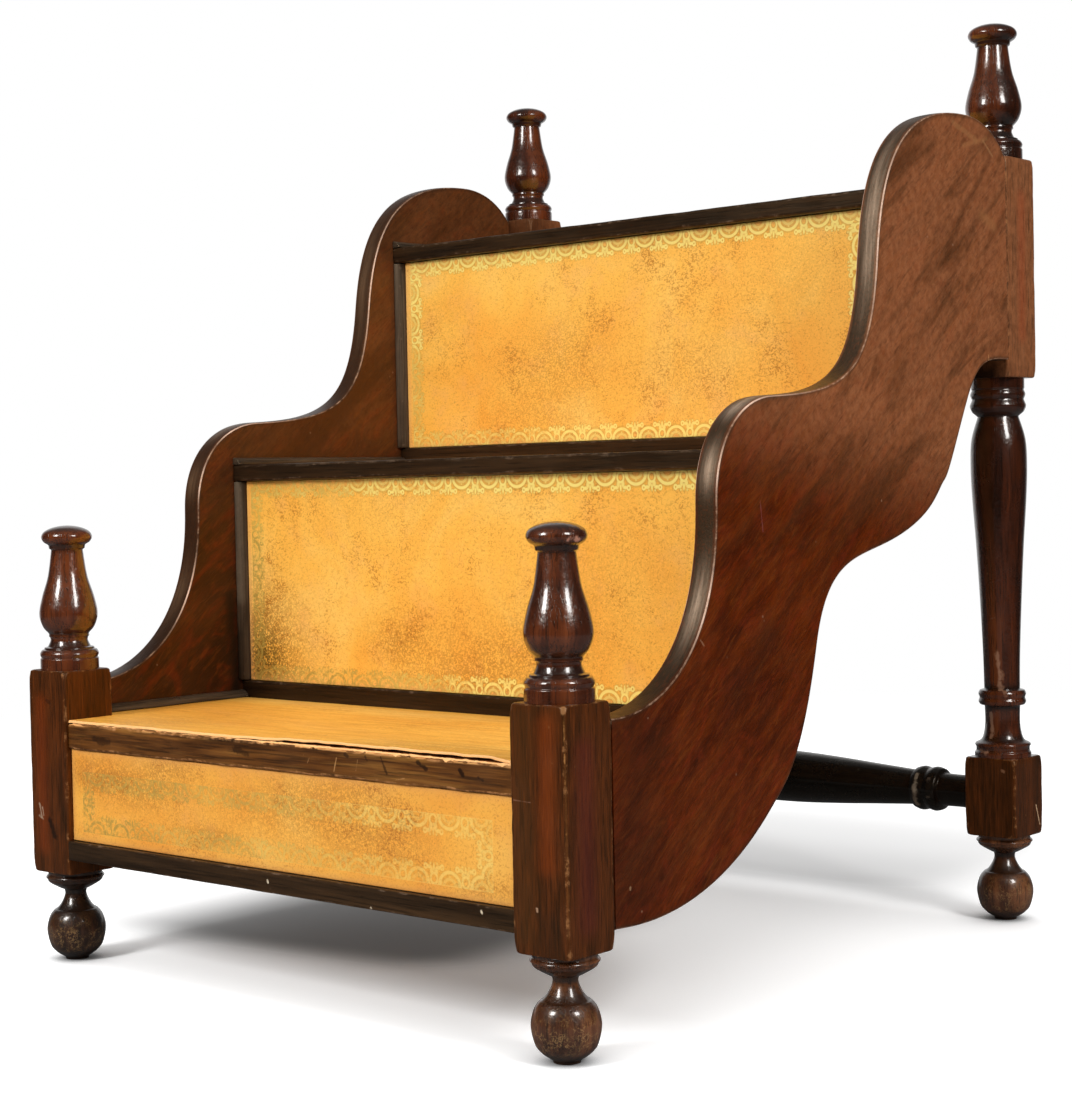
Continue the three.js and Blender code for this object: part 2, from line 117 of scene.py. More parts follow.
def skin(node, rings, finish, slot, sharp=38, name=None, **marks):
    # closed skin through a stack of rings: point (i, j) joins (i, j+1) and (i+1, j), both ends get a fan
    stations, around = rings.shape[:2]
    total = stations * around
    points = np.concatenate([rings.reshape(-1, 3), [rings[0].mean(0), rings[-1].mean(0)]]) * mm
    i, j = np.meshgrid(np.arange(stations - 1), np.arange(around), indexing="ij")
    k = (j + 1) % around
    this, following = i * around, (i + 1) * around
    quads = np.stack([this + j, this + k, following + k, following + j], -1).reshape(-1, 4)
    j, last = np.arange(around), (stations - 1) * around
    k = (j + 1) % around
    fans = np.concatenate([
        np.stack([k, j, np.full(around, total)], -1),
        np.stack([last + j, last + k, np.full(around, total + 1)], -1),
    ])
    triangles = np.concatenate([quads[:, :3], quads[:, [0, 2, 3]], fans])
    a, b, c = (points[triangles[:, n]] for n in range(3))
    if np.einsum("ij,ij->", a, np.cross(b, c)) < 0:
        # the enclosed volume is negative, so the faces would point inwards
        quads, fans = quads[:, ::-1], fans[:, ::-1]
    name = name or pieceName(node)
    mesh = bpy.data.meshes.new(name)
    mesh.from_pydata(points.tolist(), [], quads.tolist() + fans.tolist())
    mesh.polygons.foreach_set("use_smooth", np.ones(len(mesh.polygons), bool))
    mesh.set_sharp_from_angle(angle=math.radians(sharp))
    for mark, value in marks.items():
        value = np.broadcast_to(value, (stations, around)).astype(float)
        full = np.concatenate([value.ravel(), [value[0].mean(), value[-1].mean()]])
        mesh.attributes.new(mark, "FLOAT", "POINT").data.foreach_set("value", full)
    mesh.update()
    piece = addObject(name, mesh)
    piece.data.materials.append(finishes[finish])
    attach(piece, "root")
    if node:
        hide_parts(node)
    return piece


def turnedLine(shares, height, radius):
    # rows of (height share, radius share): two points are a straight, more are a Catmull-Rom curve
    line = []
    for row in shares:
        p = np.array(row, float)[:, ::-1] * (radius, height)
        if len(p) > 2:
            q = np.vstack([p[:1], p, p[-1:]])
            t = np.linspace(0, 1, 14, endpoint=False)[:, None]
            spans = [
                0.5 * (2 * b + (c - a) * t + (2 * a - 5 * b + 4 * c - d) * t ** 2
                       + (3 * b - a - 3 * c + d) * t ** 3)
                for a, b, c, d in zip(q, q[1:], q[2:], q[3:])
            ]
            p = np.vstack(spans + [p[-1:]])
        line.append(p)
    return np.vstack(line)


def lengthAlong(line):
    # how far along a flat line each of its points lies
    return np.concatenate([[0], np.cumsum(np.hypot(*np.diff(line, axis=0).T))])


def readOff(line, measure, wanted):
    # the points of a flat line where a measure that grows along it has the wanted values
    return np.stack([np.interp(wanted, measure, line[:, n]) for n in range(2)], -1)


def softened(line, softness=0.4, span=3.0, bend=11):
    # blurs the line over a short length, so that each edge is a little round, then keeps a point
    # after every few millimetres or degrees of bend
    finest = 0.15
    length = lengthAlong(line)
    points = readOff(line, length, np.linspace(0, length[-1], int(length[-1] / finest) + 2))
    reach = int(3 * softness / finest)
    weights = np.exp(-0.5 * (np.arange(-reach, reach + 1) * finest / softness) ** 2)
    weights /= weights.sum()
    before, after = 2 * points[0] - points[reach:0:-1], 2 * points[-1] - points[-2:-reach - 2:-1]
    padded = np.vstack([before, points, after])
    points = np.stack([np.convolve(padded[:, n], weights, "valid") for n in range(2)], -1)
    move = np.diff(points, axis=0)
    turn = np.abs(np.diff(np.unwrap(np.arctan2(move[:, 1], move[:, 0]))))
    effort = np.hypot(*move.T) / span + np.degrees(np.concatenate([[0], turn])) / bend
    effort = np.concatenate([[0], np.cumsum(effort)])
    return readOff(points, effort, np.linspace(0, effort[-1], int(effort[-1]) + 2))


def recessOf(line, reach=5.0, deepest=4.0):
    # 1 in the bottom of a groove and 0 where nothing near stands further out
    up, out = line[:, 1], line[:, 0]
    near = np.abs(up[:, None] - up[None]) < reach
    return np.clip((np.where(near, out[None], 0).max(1) - out) / deepest, 0, 1)


def roundRings(line, place, around, start=0.0):
    # a line of (out, up) turned about a vertical axis through the place
    angles = start + np.arange(around) * 2 * np.pi / around
    return np.stack([
        place[0] + line[:, :1] * np.cos(angles),
        place[1] + line[:, :1] * np.sin(angles),
        place[2] + line[:, 1:] + 0 * angles,
    ], -1)


def boxRing(halfA, halfB, corner, perCorner=6):
    # rounded rectangles, one per station: four quarter circles with straight sides between them
    arc = np.linspace(0, np.pi / 2, perCorner)
    corners = []
    for n, (signA, signB) in enumerate([(1, 1), (-1, 1), (-1, -1), (1, -1)]):
        turn = arc + n * np.pi / 2
        corners.append(np.stack([
            signA * (halfA - corner)[:, None] + corner[:, None] * np.cos(turn),
            signB * (halfB - corner)[:, None] + corner[:, None] * np.sin(turn),
        ], -1))
    share = np.array([0.045, 0.15, 0.32, 0.5, 0.68, 0.85, 0.955])[None, :, None]
    parts = []
    for this, following in zip(corners, corners[1:] + corners[:1]):
        parts += [this, this[:, -1:] * (1 - share) + following[:, :1] * share]
    return np.concatenate(parts, 1)


def arrisMark(perCorner=6, perSide=7):
    # 1 on the quarter circles of a boxRing and 0 on its sides
    return np.tile(np.concatenate([np.ones(perCorner), np.zeros(perSide)]), 4)


def quarter(radius, points):
    # a quarter circle: how far on and how far in each of its points lies
    arc = np.linspace(0, np.pi / 2, points)
    return radius * (1 - np.cos(arc)), radius * (1 - np.sin(arc))


def endStations(low, high, round, every):
    # places along a bar with its ends rounded: how far each ring is drawn in follows a quarter circle
    ends, inset = quarter(round, 5)
    middle = np.linspace(low + round, high - round, max(int((high - low) / every), 2) + 1)[1:-1]
    places = np.concatenate([low + ends, middle, high - ends[::-1]])
    return places, np.concatenate([inset, 0 * middle, inset[::-1]])


def otherAxes(along):
    return [axis for axis in range(3) if axis != along]


bars = {"endRound": 0.6, "lumpLength": 170, "cornerLength": 90, "cornerChange": 0.5}


def bar(node, along, finish, slot, corner=1.2, lumps=0.12, every=8.0, seed=1, grow=(0, 0, 0)):
    # a straight bar in the place of a solid: rounded rectangles along one axis, each a little uneven
    low, high = boxOf(node)
    low, high = low - grow, high + grow
    a, b = otherAxes(along)
    places, inset = endStations(low[along], high[along], bars["endRound"], every)
    half = (high - low) / 2
    uneven = [np.abs(waver(places, seed + n, bars["lumpLength"], lumps)) for n in range(2)]
    change = waver(places, seed + 5, bars["cornerLength"], bars["cornerChange"])
    corners = np.clip(corner * (1 + change), 0.3, 0.9 * min(half[a], half[b]))
    flat = boxRing(half[a] - inset - uneven[0], half[b] - inset - uneven[1], corners)
    rings = np.zeros(flat.shape[:2] + (3,))
    rings[..., along] = places[:, None]
    rings[..., a] = (low[a] + high[a]) / 2 + flat[..., 0]
    rings[..., b] = (low[b] + high[b]) / 2 + flat[..., 1]
    atEnd = (inset > 0.05)[:, None]
    skin(node, rings, finish, slot, arris=np.maximum(arrisMark(), atEnd * 1.0))


# finishes
def tone(r, g, b):
    # a screen colour of 0 to 255 as the shader's own scale
    c = np.array([r, g, b]) / 255
    return (*np.where(c <= 0.04045, c / 12.92, ((c + 0.055) / 1.055) ** 2.4).tolist(), 1.0)


class Board:
    # a small hand for laying out nodes: put() adds one, and its inputs take values or other sockets
    def __init__(self, tree):
        self.tree = tree
        self.where = self.put("TexCoord").outputs
        self.coords = self.where["Object"]

    def put(self, kind, inputs=None, **settings):
        made = self.tree.nodes.new("ShaderNode" + kind)
        for key, value in settings.items():
            setattr(made, key, value)
        for key, value in (inputs or {}).items():
            socket = made.inputs[key]
            if isinstance(value, bpy.types.NodeSocket):
                self.tree.links.new(value, socket)
            else:
                socket.default_value = value
        return made

    def sum(self, kind, a, b=0.0, c=0.0):
        return self.put("Math", {0: a, 1: b, 2: c}, operation=kind).outputs[0]

    def times(self, a, b):
        return self.sum("MULTIPLY", a, b)

    def plus(self, a, b):
        return self.sum("ADD", a, b)

    def minus(self, a, b):
        return self.sum("SUBTRACT", a, b)

    def most(self, a, b):
        return self.sum("MAXIMUM", a, b)

    def apart(self, a, b):
        # how far two numbers are from each other
        return self.sum("ABSOLUTE", self.minus(a, b))

    def vector(self, kind, a, b=(0, 0, 0)):
        made = self.put("VectorMath", {0: a, 1: b}, operation=kind)
        return made.outputs["Value" if kind in ("LENGTH", "DISTANCE", "DOT_PRODUCT") else "Vector"]

    def place(self):
        # X, Y and Z in metres
        return self.put("SeparateXYZ", {0: self.coords}).outputs

    def mix(self, share, a, b):
        return self.put("Mix", {0: share, 6: a, 7: b}, data_type="RGBA").outputs[2]

    def tint(self, colour, share, hue):
        # a share of a screen colour laid over what is there
        return self.mix(share, colour, tone(*hue))

    def between(self, value, low, high, toLow=0.0, toHigh=1.0):
        # a soft step: one number up to low, another from high on
        inputs = {0: value, 1: low, 2: high, 3: toLow, 4: toHigh}
        return self.put("MapRange", inputs, interpolation_type="SMOOTHSTEP").outputs[0]

    def layer(self, colour, value, low, high, share, hue):
        # a screen colour laid on softly, more of it as a value goes from low to high
        return self.tint(colour, self.between(value, low, high, 0.0, share), hue)

    def mapped(self, turn=(0, 0, 0), stretch=(1, 1, 1), move=(0, 0, 0)):
        turned = self.put("Mapping", {"Vector": self.coords, "Rotation": turn, "Location": move})
        return self.put("Mapping", {"Vector": turned.outputs[0], "Scale": stretch}).outputs[0]

    def noise(self, where, scale, detail=3.0, roughness=0.55, distortion=0.0):
        return self.put("TexNoise", {
            "Vector": where, "Scale": scale, "Detail": detail, "Roughness": roughness,
            "Distortion": distortion,
        }).outputs[0]

    def threads(self, where, scale, width, detail=2.0):
        # thin wandering lines, where a noise passes its middle value
        value = self.noise(where, scale, detail, 0.6, 0.4)
        return self.between(self.apart(value, 0.5), width * 0.4, width, 1.0, 0.0)

    def mark(self, name):
        return self.put("Attribute", attribute_name=name, attribute_type="GEOMETRY").outputs["Fac"]

    def ramp(self, value, places, hues):
        made = self.put("ValToRGB", {"Fac": value})
        ramp = made.color_ramp
        while len(ramp.elements) < len(hues):
            ramp.elements.new(0.5)
        for element, place, hue in zip(ramp.elements, places, hues):
            element.position = place
            element.color = hue
        return made.outputs[0]

    def awayFrom(self, start, end):
        # distance from the straight between two points, which are given in millimetres
        start, way = np.array(start, float) * mm, np.subtract(end, start) * mm
        there = self.vector("SUBTRACT", self.coords, start.tolist())
        along = self.vector("DOT_PRODUCT", there, (way / max(way @ way, 1e-9)).tolist())
        along = self.put("Clamp", {0: along}).outputs[0]
        foot = self.put("VectorMath", {0: way.tolist(), "Scale": along}, operation="SCALE").outputs[0]
        return self.vector("DISTANCE", there, foot)

    def finish(self, colour, roughness, height, relief, constants):
        shader = self.tree.nodes["Principled BSDF"]
        self.tree.links.new(colour, shader.inputs["Base Color"])
        self.tree.links.new(roughness, shader.inputs["Roughness"])
        bump = self.put("Bump", {"Height": height, "Strength": 1.0, "Distance": relief})
        self.tree.links.new(bump.outputs[0], shader.inputs["Normal"])
        for key, value in constants.items():
            shader.inputs[key].default_value = value
        return self.material


def newFinish(name):
    material = bpy.data.materials.new(name)
    material.use_nodes = True
    board = Board(material.node_tree)
    board.material = material
    return board


wood = {
    "stretch": {"X": (0.05, 1, 1), "Y": (1, 0.05, 1), "Z": (1, 1, 0.05)},  # how far each grain is drawn out
    "softFrom": 8.0,  # marks wider than this many millimetres fade out softly
    # scales of the noises, per metre
    "flame": 9.0, "fine": 700.0, "smear": 34.0, "patchy": 130.0, "scrape": 420.0, "speck": 75.0,
    "lone": 23.0, "rippled": 260.0,
    "poreShade": 0.42, "hairShade": 1.5,  # the darkest and the palest tone times this
    "recessTone": (14, 7, 4), "recessShare": 0.75,
    # how ragged a mark's edge is, and where its fade begins and ends, as shares of its width
    "softEdge": (0.3, 0.0, 0.9), "hardEdge": (1.6, 0.2, 0.55),
    "rampPlaces": (0.33, 0.5, 0.69), "relief": 0.00022,
    "usual": {
        "grain": "Z", "turn": 0.0, "figure": 0.3, "streak": 55.0, "pores": 0.5, "rough": 0.3, "gloss": 0.3,
        "coat": 0.0, "ripple": 0.5, "length": 1.0, "wear": 0.5, "wearTone": (150, 104, 70),
        "specks": 0.25, "hair": 0.12, "marks": (), "sheen": (1.0, 0.72, 0.45, 1.0),
    },
}


def woodFinish(name, tones, extra=None, **changes):
    # grain in three sizes: broad flame figure, streaks and fine dark pores, then wear on the edges
    use = wood["usual"] | changes
    board = newFinish(name)
    stretch = tuple(s ** use["length"] for s in wood["stretch"][use["grain"]])

    def alongGrain(power=1):
        return board.mapped((use["turn"], 0, 0), tuple(s ** power for s in stretch))

    flame = board.noise(alongGrain(0.6), wood["flame"], 3.0, 0.5, 0.8)
    bands = board.noise(alongGrain(), use["streak"], 5.0, 0.62, 0.35)
    fine = board.noise(alongGrain(1.15), wood["fine"], 2.0, 0.5)
    mixed = board.plus(board.times(board.minus(flame, 0.5), use["figure"] * 2.2), bands)
    colour = board.ramp(mixed, wood["rampPlaces"], [tone(*hue) for hue in tones])
    smear = board.noise(board.coords, wood["smear"], 4.0, 0.6)
    rough = board.between(smear, 0.3, 0.75, use["rough"] * 0.85, use["rough"] * 1.3)
    patchy = board.noise(board.coords, wood["patchy"], 4.0, 0.7)
    if extra:
        colour, rough = extra(board, colour, rough, patchy)
    pore = board.between(fine, 0.36, 0.46, 1.0, 0.0)
    dark, light = [c * wood["poreShade"] for c in tones[0]], [c * wood["hairShade"] for c in tones[2]]
    colour = board.tint(colour, board.times(pore, use["pores"]), dark)
    colour = board.layer(colour, fine, 0.55, 0.68, use["hair"], light)
    colour = board.tint(colour, board.times(board.mark("recess"), wood["recessShare"]), wood["recessTone"])
    edge = board.between(board.mark("arris"), 0.5, 1.0)
    worn = board.times(edge, board.between(patchy, 0.62 - use["wear"] * 0.3, 0.72))
    scrape = board.noise(alongGrain(), wood["scrape"], 2.0, 0.6)
    worn = board.times(worn, board.between(scrape, 0.3, 0.6))
    colour = board.tint(colour, worn, use["wearTone"])
    # the listed marks: wear and colour, and some painted shade and highlights
    for start, end, width, strength, markTone in use["marks"]:
        ragged, full, gone = wood["softEdge" if width > wood["softFrom"] else "hardEdge"]
        away = board.awayFrom(start, end)
        away = board.plus(away, board.times(board.minus(patchy, 0.5), width * mm * ragged))
        near = board.between(away, width * mm * full, width * mm * gone, strength, 0.0)
        colour = board.tint(colour, near, markTone)
    specks = board.put("TexVoronoi", {"Vector": board.coords, "Scale": wood["speck"]}, feature="F1")
    specks = board.between(specks.outputs["Distance"], 0.05, 0.1, use["specks"], 0.0)
    lone = board.between(board.noise(board.coords, wood["lone"], 1.0), 0.6, 0.66)
    colour = board.tint(colour, board.times(specks, lone), use["wearTone"])
    rough = board.plus(rough, board.times(worn, 0.3))
    ripple = board.times(board.noise(board.coords, wood["rippled"], 2.0, 0.5), use["ripple"])
    height = board.plus(board.times(pore, -0.25), ripple)
    return board.finish(colour, rough, height, wood["relief"], {
        "IOR": 1.5, "Specular IOR Level": use["gloss"], "Specular Tint": use["sheen"],
        "Coat Weight": use["coat"], "Coat Roughness": 0.1,
    })


def faded(low, high, share, paleTone, slope=0.0):
    # painted light: the wood is lighter above a height, given in metres, and lower down towards the rear
    def change(board, colour, rough, patchy):
        place = board.place()
        up = board.plus(place[2], board.times(place[1], slope))
        pale = board.between(up, low, high, 0.0, share)
        pale = board.times(pale, board.between(patchy, 0.3, 0.7, 0.65, 1.15))
        return board.tint(colour, pale, paleTone), rough
    return change


panelWood = {
    "slope": math.radians(-38),
    # each panel: painted light on its upper part, and a painted sheen on its edge strip
    "faded": (0.355, 0.475, 0.68, (156, 98, 62), 0.2), "strip": (50, 36, 24), "rubbed": (162, 139, 117),
    "leftFaded": (0.3, 0.55, 0.6, (108, 66, 36)), "leftStrip": (48, 28, 16), "leftPaintedSheen": (92, 68, 48),
    "redTone": (108, 34, 8), "goldStreak": (120, 62, 18), "darkStreak": (46, 20, 5),
    "stroke": (62, 34, 14), "strokeShare": 0.7, "rubbedShare": 1.0,
    # painted highlight along the panel's lit arris: its tone and share
    "arrisHighlight": (232, 198, 176), "arrisHighlightShare": 0.9,
}


def panelFigure(pale, stripTone, rubbedTone):
    # dark brush-like strokes up the slope, a swirl of red, and a darker polished edge strip, with a painted
    # sheen on the strip and a painted highlight along its arris
    def change(board, colour, rough, patchy):
        turn = (panelWood["slope"], 0, 0)
        swirl = board.noise(board.mapped(turn, (1, 0.45, 1)), 30.0, 5.0, 0.65, 2.6)
        colour = board.layer(colour, swirl, 0.45, 0.7, 0.45, panelWood["redTone"])
        high = board.between(board.place()[2], 0.22, 0.5, 0.35, 1.0)
        # painted light on the upper part of the panel
        colour, rough = faded(*pale)(board, colour, rough, patchy)
        long = board.noise(board.mapped(turn, (1, 0.16, 1)), 150.0, 4.0, 0.7, 1.4)
        colour = board.layer(colour, long, 0.5, 0.68, 0.24, panelWood["goldStreak"])
        colour = board.tint(colour, board.between(long, 0.34, 0.48, 0.3, 0.0), panelWood["darkStreak"])
        for scale, seed, share in ((26.0, 0.0, 1.0), (64.0, 3.7, 0.7)):
            stroke = board.noise(board.mapped(turn, (1, 0.2, 1), (seed, seed, seed)), scale, 3.0, 0.55, 0.6)
            stroke = board.between(stroke, 0.5, 0.7, 0.0, panelWood["strokeShare"] * share)
            colour = board.tint(colour, board.times(stroke, high), panelWood["stroke"])
        cloudy = board.between(patchy, 0.4, 0.65, 0.0, 0.4)
        hue = board.tint(tone(*stripTone), cloudy, [c * 1.2 for c in stripTone])
        brushed = board.noise(board.mapped(stretch=(1, 0.06, 0.06)), 420.0, 2.0, 0.6)
        brushed = board.between(brushed, 0.3, 0.7, 0.4, panelWood["rubbedShare"])
        # painted sheen: lighter brushed patches on the edge strip, at the heights listed with the panels
        hue = board.tint(hue, board.times(board.mark("rubbed"), brushed), rubbedTone)
        colour = board.mix(board.mark("strip"), colour, hue)
        # painted highlight: a pale line along the arris at the lit heights
        line = board.times(board.between(board.mark("arris"), 0.5, 0.95), board.mark("lit"))
        return board.tint(colour, board.times(line, panelWood["arrisHighlightShare"]), panelWood["arrisHighlight"]), rough
    return change


wornNosing = {
    "leatherTone": (240, 176, 108), "upperEdge": (0.2022, 0.2042),  # metres above the floor
    "goldTone": (150, 102, 44), "goldShare": 0.5,
}


def nosingWear(board, colour, rough, patchy):
    # remains of torn leather along the upper front edge, more of them towards the right
    place = board.place()
    patch = board.noise(board.mapped(stretch=(0.3, 1, 1)), 190.0, 3.0, 0.6)
    shows = board.between(board.plus(patch, board.between(place[0], -0.1, 0.1, 0.0, 0.16)), 0.56, 0.62)
    shows = board.times(shows, board.between(place[2], *wornNosing["upperEdge"]))
    colour = board.tint(colour, shows, wornNosing["leatherTone"])
    gold = board.noise(board.mapped(stretch=(0.06, 1, 1)), 130.0, 4.0, 0.6)
    return board.layer(colour, gold, 0.5, 0.7, wornNosing["goldShare"], wornNosing["goldTone"]), rough


scuffs = {
    # painted shade over the left feet: its tone, and how much of it
    "darkTone": (20, 11, 6), "darkLeft": 0.7,  # how much of it lies over the left feet
    "paleTone": (156, 118, 70), "scale": 300.0, "width": 0.05, "share": 0.65, "rougher": 0.08,
}


def footScuffsAndShade(board, colour, rough, patchy):
    # fine pale scuffs that wander over the ball; the left feet get painted shade, darker than the right ones
    left = board.between(board.place()[0], -0.2, 0.2, scuffs["darkLeft"], 0.0)
    colour = board.tint(colour, left, scuffs["darkTone"])
    lines = board.threads(board.coords, scuffs["scale"], scuffs["width"], 3.0)
    scuff = board.times(lines, board.mark("scuff"))
    scuff = board.times(scuff, board.between(patchy, 0.42, 0.62, 0.0, scuffs["share"]))
    rough = board.plus(rough, board.times(board.mark("scuff"), scuffs["rougher"]))
    return board.tint(colour, scuff, scuffs["paleTone"]), rough


leather = {
    "gold": (254, 194, 84), "deep": (248, 178, 70), "pale": (255, 208, 108), "pink": (240, 180, 114),
    "tan": (232, 162, 58), "brown": (190, 122, 38), "dark": (148, 92, 26), "olive": (102, 78, 26),
    "gilt": (252, 234, 134), "oldGilt": (226, 194, 96), "pressedAndShaded": (176, 140, 52), "wornGilt": (122, 98, 36),
    "period": 31.0, "border": 16.0, "relief": 0.0003,
    "shine": {"IOR": 1.45, "Specular IOR Level": 0.3},
    # scales of the noises, per metre
    "cloud": 9.0, "veil": 22.0, "patch": 20.0, "crackle": 260.0, "gaps": 520.0, "specks": 640.0,
    "grime": 500.0, "grimeLines": 280.0, "flaking": 180.0, "pits": 620.0, "streaks": 160.0,
    "treadShade": (0.93, 0.9, 0.84), "streakTone": (188, 122, 40), "tornTone": (244, 184, 118),
    # each riser: insets of the gilt border at the sides and at top and bottom, and its shift to the left
    # and down (mm), how much gilt is seen where least and most of it is left, and the leather's shade
    "risers": {
        "low": ((18.0, 13.0), (4.0, 5.0), (0.15, 0.29), (0.91, 0.845, 0.74)),
        "middle": ((6.0, 0.0), (0.0, 0.0), (0.25, 0.85), (0.99, 0.975, 0.93)),
        "top": ((8.7, 0.0), (2.0, 0.0), (0.25, 0.8), (0.985, 0.975, 0.94)),
    },
}


def giltMotif(board, along, inward, period, depth):
    # a repeating tooled border: festoons hung between ovals, with a spreading palm leaf under each oval
    across = board.apart(board.sum("FRACT", board.sum("DIVIDE", along, period)), 0.5)
    down = board.sum("DIVIDE", inward, depth)
    spot = board.put("CombineXYZ", {0: across, 1: down}).outputs[0]
    # each loop: centre across and down, the two radii, line width (1 fills it), how bright
    loops = [
        (0.5, 0.0, 0.33, 0.62, 0.13, 1.0), (0.5, 0.02, 0.18, 0.3, 0.24, 0.55),
        (0.5, 0.42, 0.03, 0.06, 1.0, 0.6), (0.0, 0.27, 0.105, 0.24, 0.26, 1.0),
        (0.2, 0.16, 0.04, 0.09, 0.5, 0.8), (0.075, 0.6, 0.05, 0.17, 1.0, 0.9),
        (0.0, 0.78, 0.028, 0.18, 1.0, 1.0), (0.15, 0.77, 0.08, 0.09, 1.0, 0.95),
        (0.26, 0.79, 0.045, 0.1, 0.5, 1.0), (0.1, 0.93, 0.03, 0.06, 1.0, 0.7),
    ]
    gilt, halo = board.between(down, 0.02, 0.06, 0.7, 0.0), 0.0
    for acrossAt, downAt, wide, tall, line, bright in loops:
        offset = board.vector("SUBTRACT", spot, (acrossAt, downAt, 0))
        ring = board.vector("LENGTH", board.vector("MULTIPLY", offset, (1 / wide, 1 / tall, 0)))
        if line < 1:
            ring = board.apart(ring, 1.0)
        gilt = board.most(gilt, board.between(ring, line * 0.6, line * 1.4, bright, 0.0))
        halo = board.most(halo, board.between(ring, line * 1.2, line * 1.6 + 0.2, 1.0, 0.0))
    inBand = board.times(board.sum("GREATER_THAN", down, 0.0), board.sum("LESS_THAN", down, 1.02))
    return board.times(gilt, inBand), board.times(halo, inBand), inBand


def leatherColour(board, stretch, speckle=1.0, shade=(1, 1, 1)):
    # gold tan with cloudy shifts of tone, a crackle of short wandering lines, thicker in places,
    # and olive grime where marked
    def hide(name):
        return tone(*[c * s for c, s in zip(leather[name], shade)])

    cloud = board.noise(board.mapped(stretch=stretch), leather["cloud"], 4.0, 0.6, 0.6)
    veil = board.noise(board.mapped(stretch=stretch, move=(0.3, 0.1, 0.7)), leather["veil"], 5.0, 0.65)
    colour = board.ramp(cloud, (0.32, 0.5, 0.7), [hide("deep"), hide("gold"), hide("pale")])
    colour = board.mix(board.between(veil, 0.5, 0.75, 0.0, 0.35), colour, hide("pink"))
    patch = board.noise(board.mapped(stretch=stretch, move=(0.9, 0.2, 0.4)), leather["patch"], 5.0, 0.68)
    stain = board.mark("stain")
    cover = board.between(board.plus(patch, board.times(stain, 0.12)), 0.48, 0.78)
    cover = board.plus(cover, board.times(stain, 0.2))
    colour = board.mix(board.times(cover, 0.2 * speckle), colour, hide("tan"))
    lines = board.threads(board.mapped(stretch=(0.7 * stretch[0], 1, 1)), leather["crackle"], 0.075)
    gaps = board.noise(board.coords, leather["gaps"], 2.0, 0.6)
    gaps = board.between(board.plus(gaps, board.times(cover, 0.12)), 0.47, 0.6)
    crackle = board.times(board.times(lines, gaps), board.plus(board.times(cover, 0.8), 0.34))
    colour = board.mix(board.times(crackle, 0.85 * speckle), colour, hide("brown"))
    specks = board.noise(board.mapped(stretch=(0.8 * stretch[0], 1, 1)), leather["specks"], 3.0, 0.7)
    dots = board.between(board.plus(specks, board.times(cover, 0.05)), 0.61, 0.68)
    colour = board.mix(board.times(dots, 0.5 * speckle), colour, hide("dark"))
    grime = board.plus(board.noise(board.coords, leather["grime"], 3.0, 0.7), board.times(stain, 0.03))
    lines = board.threads(board.coords, leather["grimeLines"], 0.07)
    grime = board.most(lines, board.between(grime, 0.52, 0.57))
    grimeTone = board.mix(board.between(stain, 0.4, 0.9), hide("dark"), hide("olive"))
    colour = board.mix(board.times(grime, stain), colour, grimeTone)
    colour = board.mix(board.times(board.mark("edge"), 0.7), colour, hide("pink"))
    return colour, board.plus(board.times(specks, 0.5), board.times(crackle, -0.3))


def riserFinish(stepName, insets, shift, shown, shade):
    # the motif runs round the leather's four sides and is worn, pitted or gone where little of it is kept
    board = newFinish(stepName + "RiserLeather")
    colour, height = leatherColour(board, (1, 1, 1), shade=shade)
    low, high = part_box(stepName + "_riser_leather")
    place = board.place()
    fromMiddle = board.apart(place[2], (high.z + low.z) / 2 - shift[1] * mm)
    across = board.sum("ABSOLUTE", board.plus(place[0], shift[0] * mm))
    fromSide = board.minus((high.x - low.x) / 2 - insets[0] * mm, across)
    fromEnd = board.minus((high.z - low.z) / 2 - insets[1] * mm, fromMiddle)
    upright = board.sum("LESS_THAN", fromSide, fromEnd)
    along = board.plus(board.times(upright, place[2]), board.times(board.minus(1.0, upright), place[0]))
    inward = board.sum("MINIMUM", fromSide, fromEnd)
    gilt, halo, band = giltMotif(board, along, inward, leather["period"] * mm, leather["border"] * mm)
    kept = board.mark("kept")
    flaking = board.noise(board.coords, leather["flaking"], 4.0, 0.65)
    shows = board.between(board.plus(flaking, board.times(kept, 0.45)), 0.55, 0.8, *shown)
    giltTone = board.mix(board.between(kept, 0.1, 0.6), tone(*leather["oldGilt"]), tone(*leather["gilt"]))
    pits = board.noise(board.coords, leather["pits"], 2.0)
    pits = board.times(board.between(pits, 0.54, 0.62), band)
    pits = board.times(pits, board.between(kept, 0.0, 0.7, 0.25, 0.1))
    colour = board.tint(colour, pits, leather["wornGilt"])
    bare = board.times(gilt, board.between(kept, 0.0, 0.5, 0.8, 0.0))
    colour = board.tint(colour, board.times(bare, board.between(flaking, 0.35, 0.6)), leather["wornGilt"])
    # olive around the gilt: pressed leather with painted shade of the tooled lines
    colour = board.tint(colour, board.times(halo, board.times(shows, 0.5)), leather["pressedAndShaded"])
    gilt = board.times(gilt, shows)
    colour = board.mix(gilt, colour, giltTone)
    height = board.minus(height, board.times(gilt, 0.6))
    rough = board.between(gilt, 0.0, 1.0, 0.5, 0.36)
    return board.finish(colour, rough, height, leather["relief"], leather["shine"])


def treadFinish():
    # duller than the risers, with streaks across the tread, and pale where it is torn
    board = newFinish("treadLeather")
    colour, height = leatherColour(board, (0.3, 1, 1), 0.8, leather["treadShade"])
    streaks = board.noise(board.mapped(stretch=(0.1, 1, 1)), leather["streaks"], 4.0, 0.65, 0.6)
    colour = board.layer(colour, streaks, 0.42, 0.68, 0.42, leather["streakTone"])
    colour = board.tint(colour, board.mark("torn"), leather["tornTone"])
    rough = board.between(streaks, 0.3, 0.7, 0.42, 0.55)
    return board.finish(colour, rough, height, leather["relief"], leather["shine"])


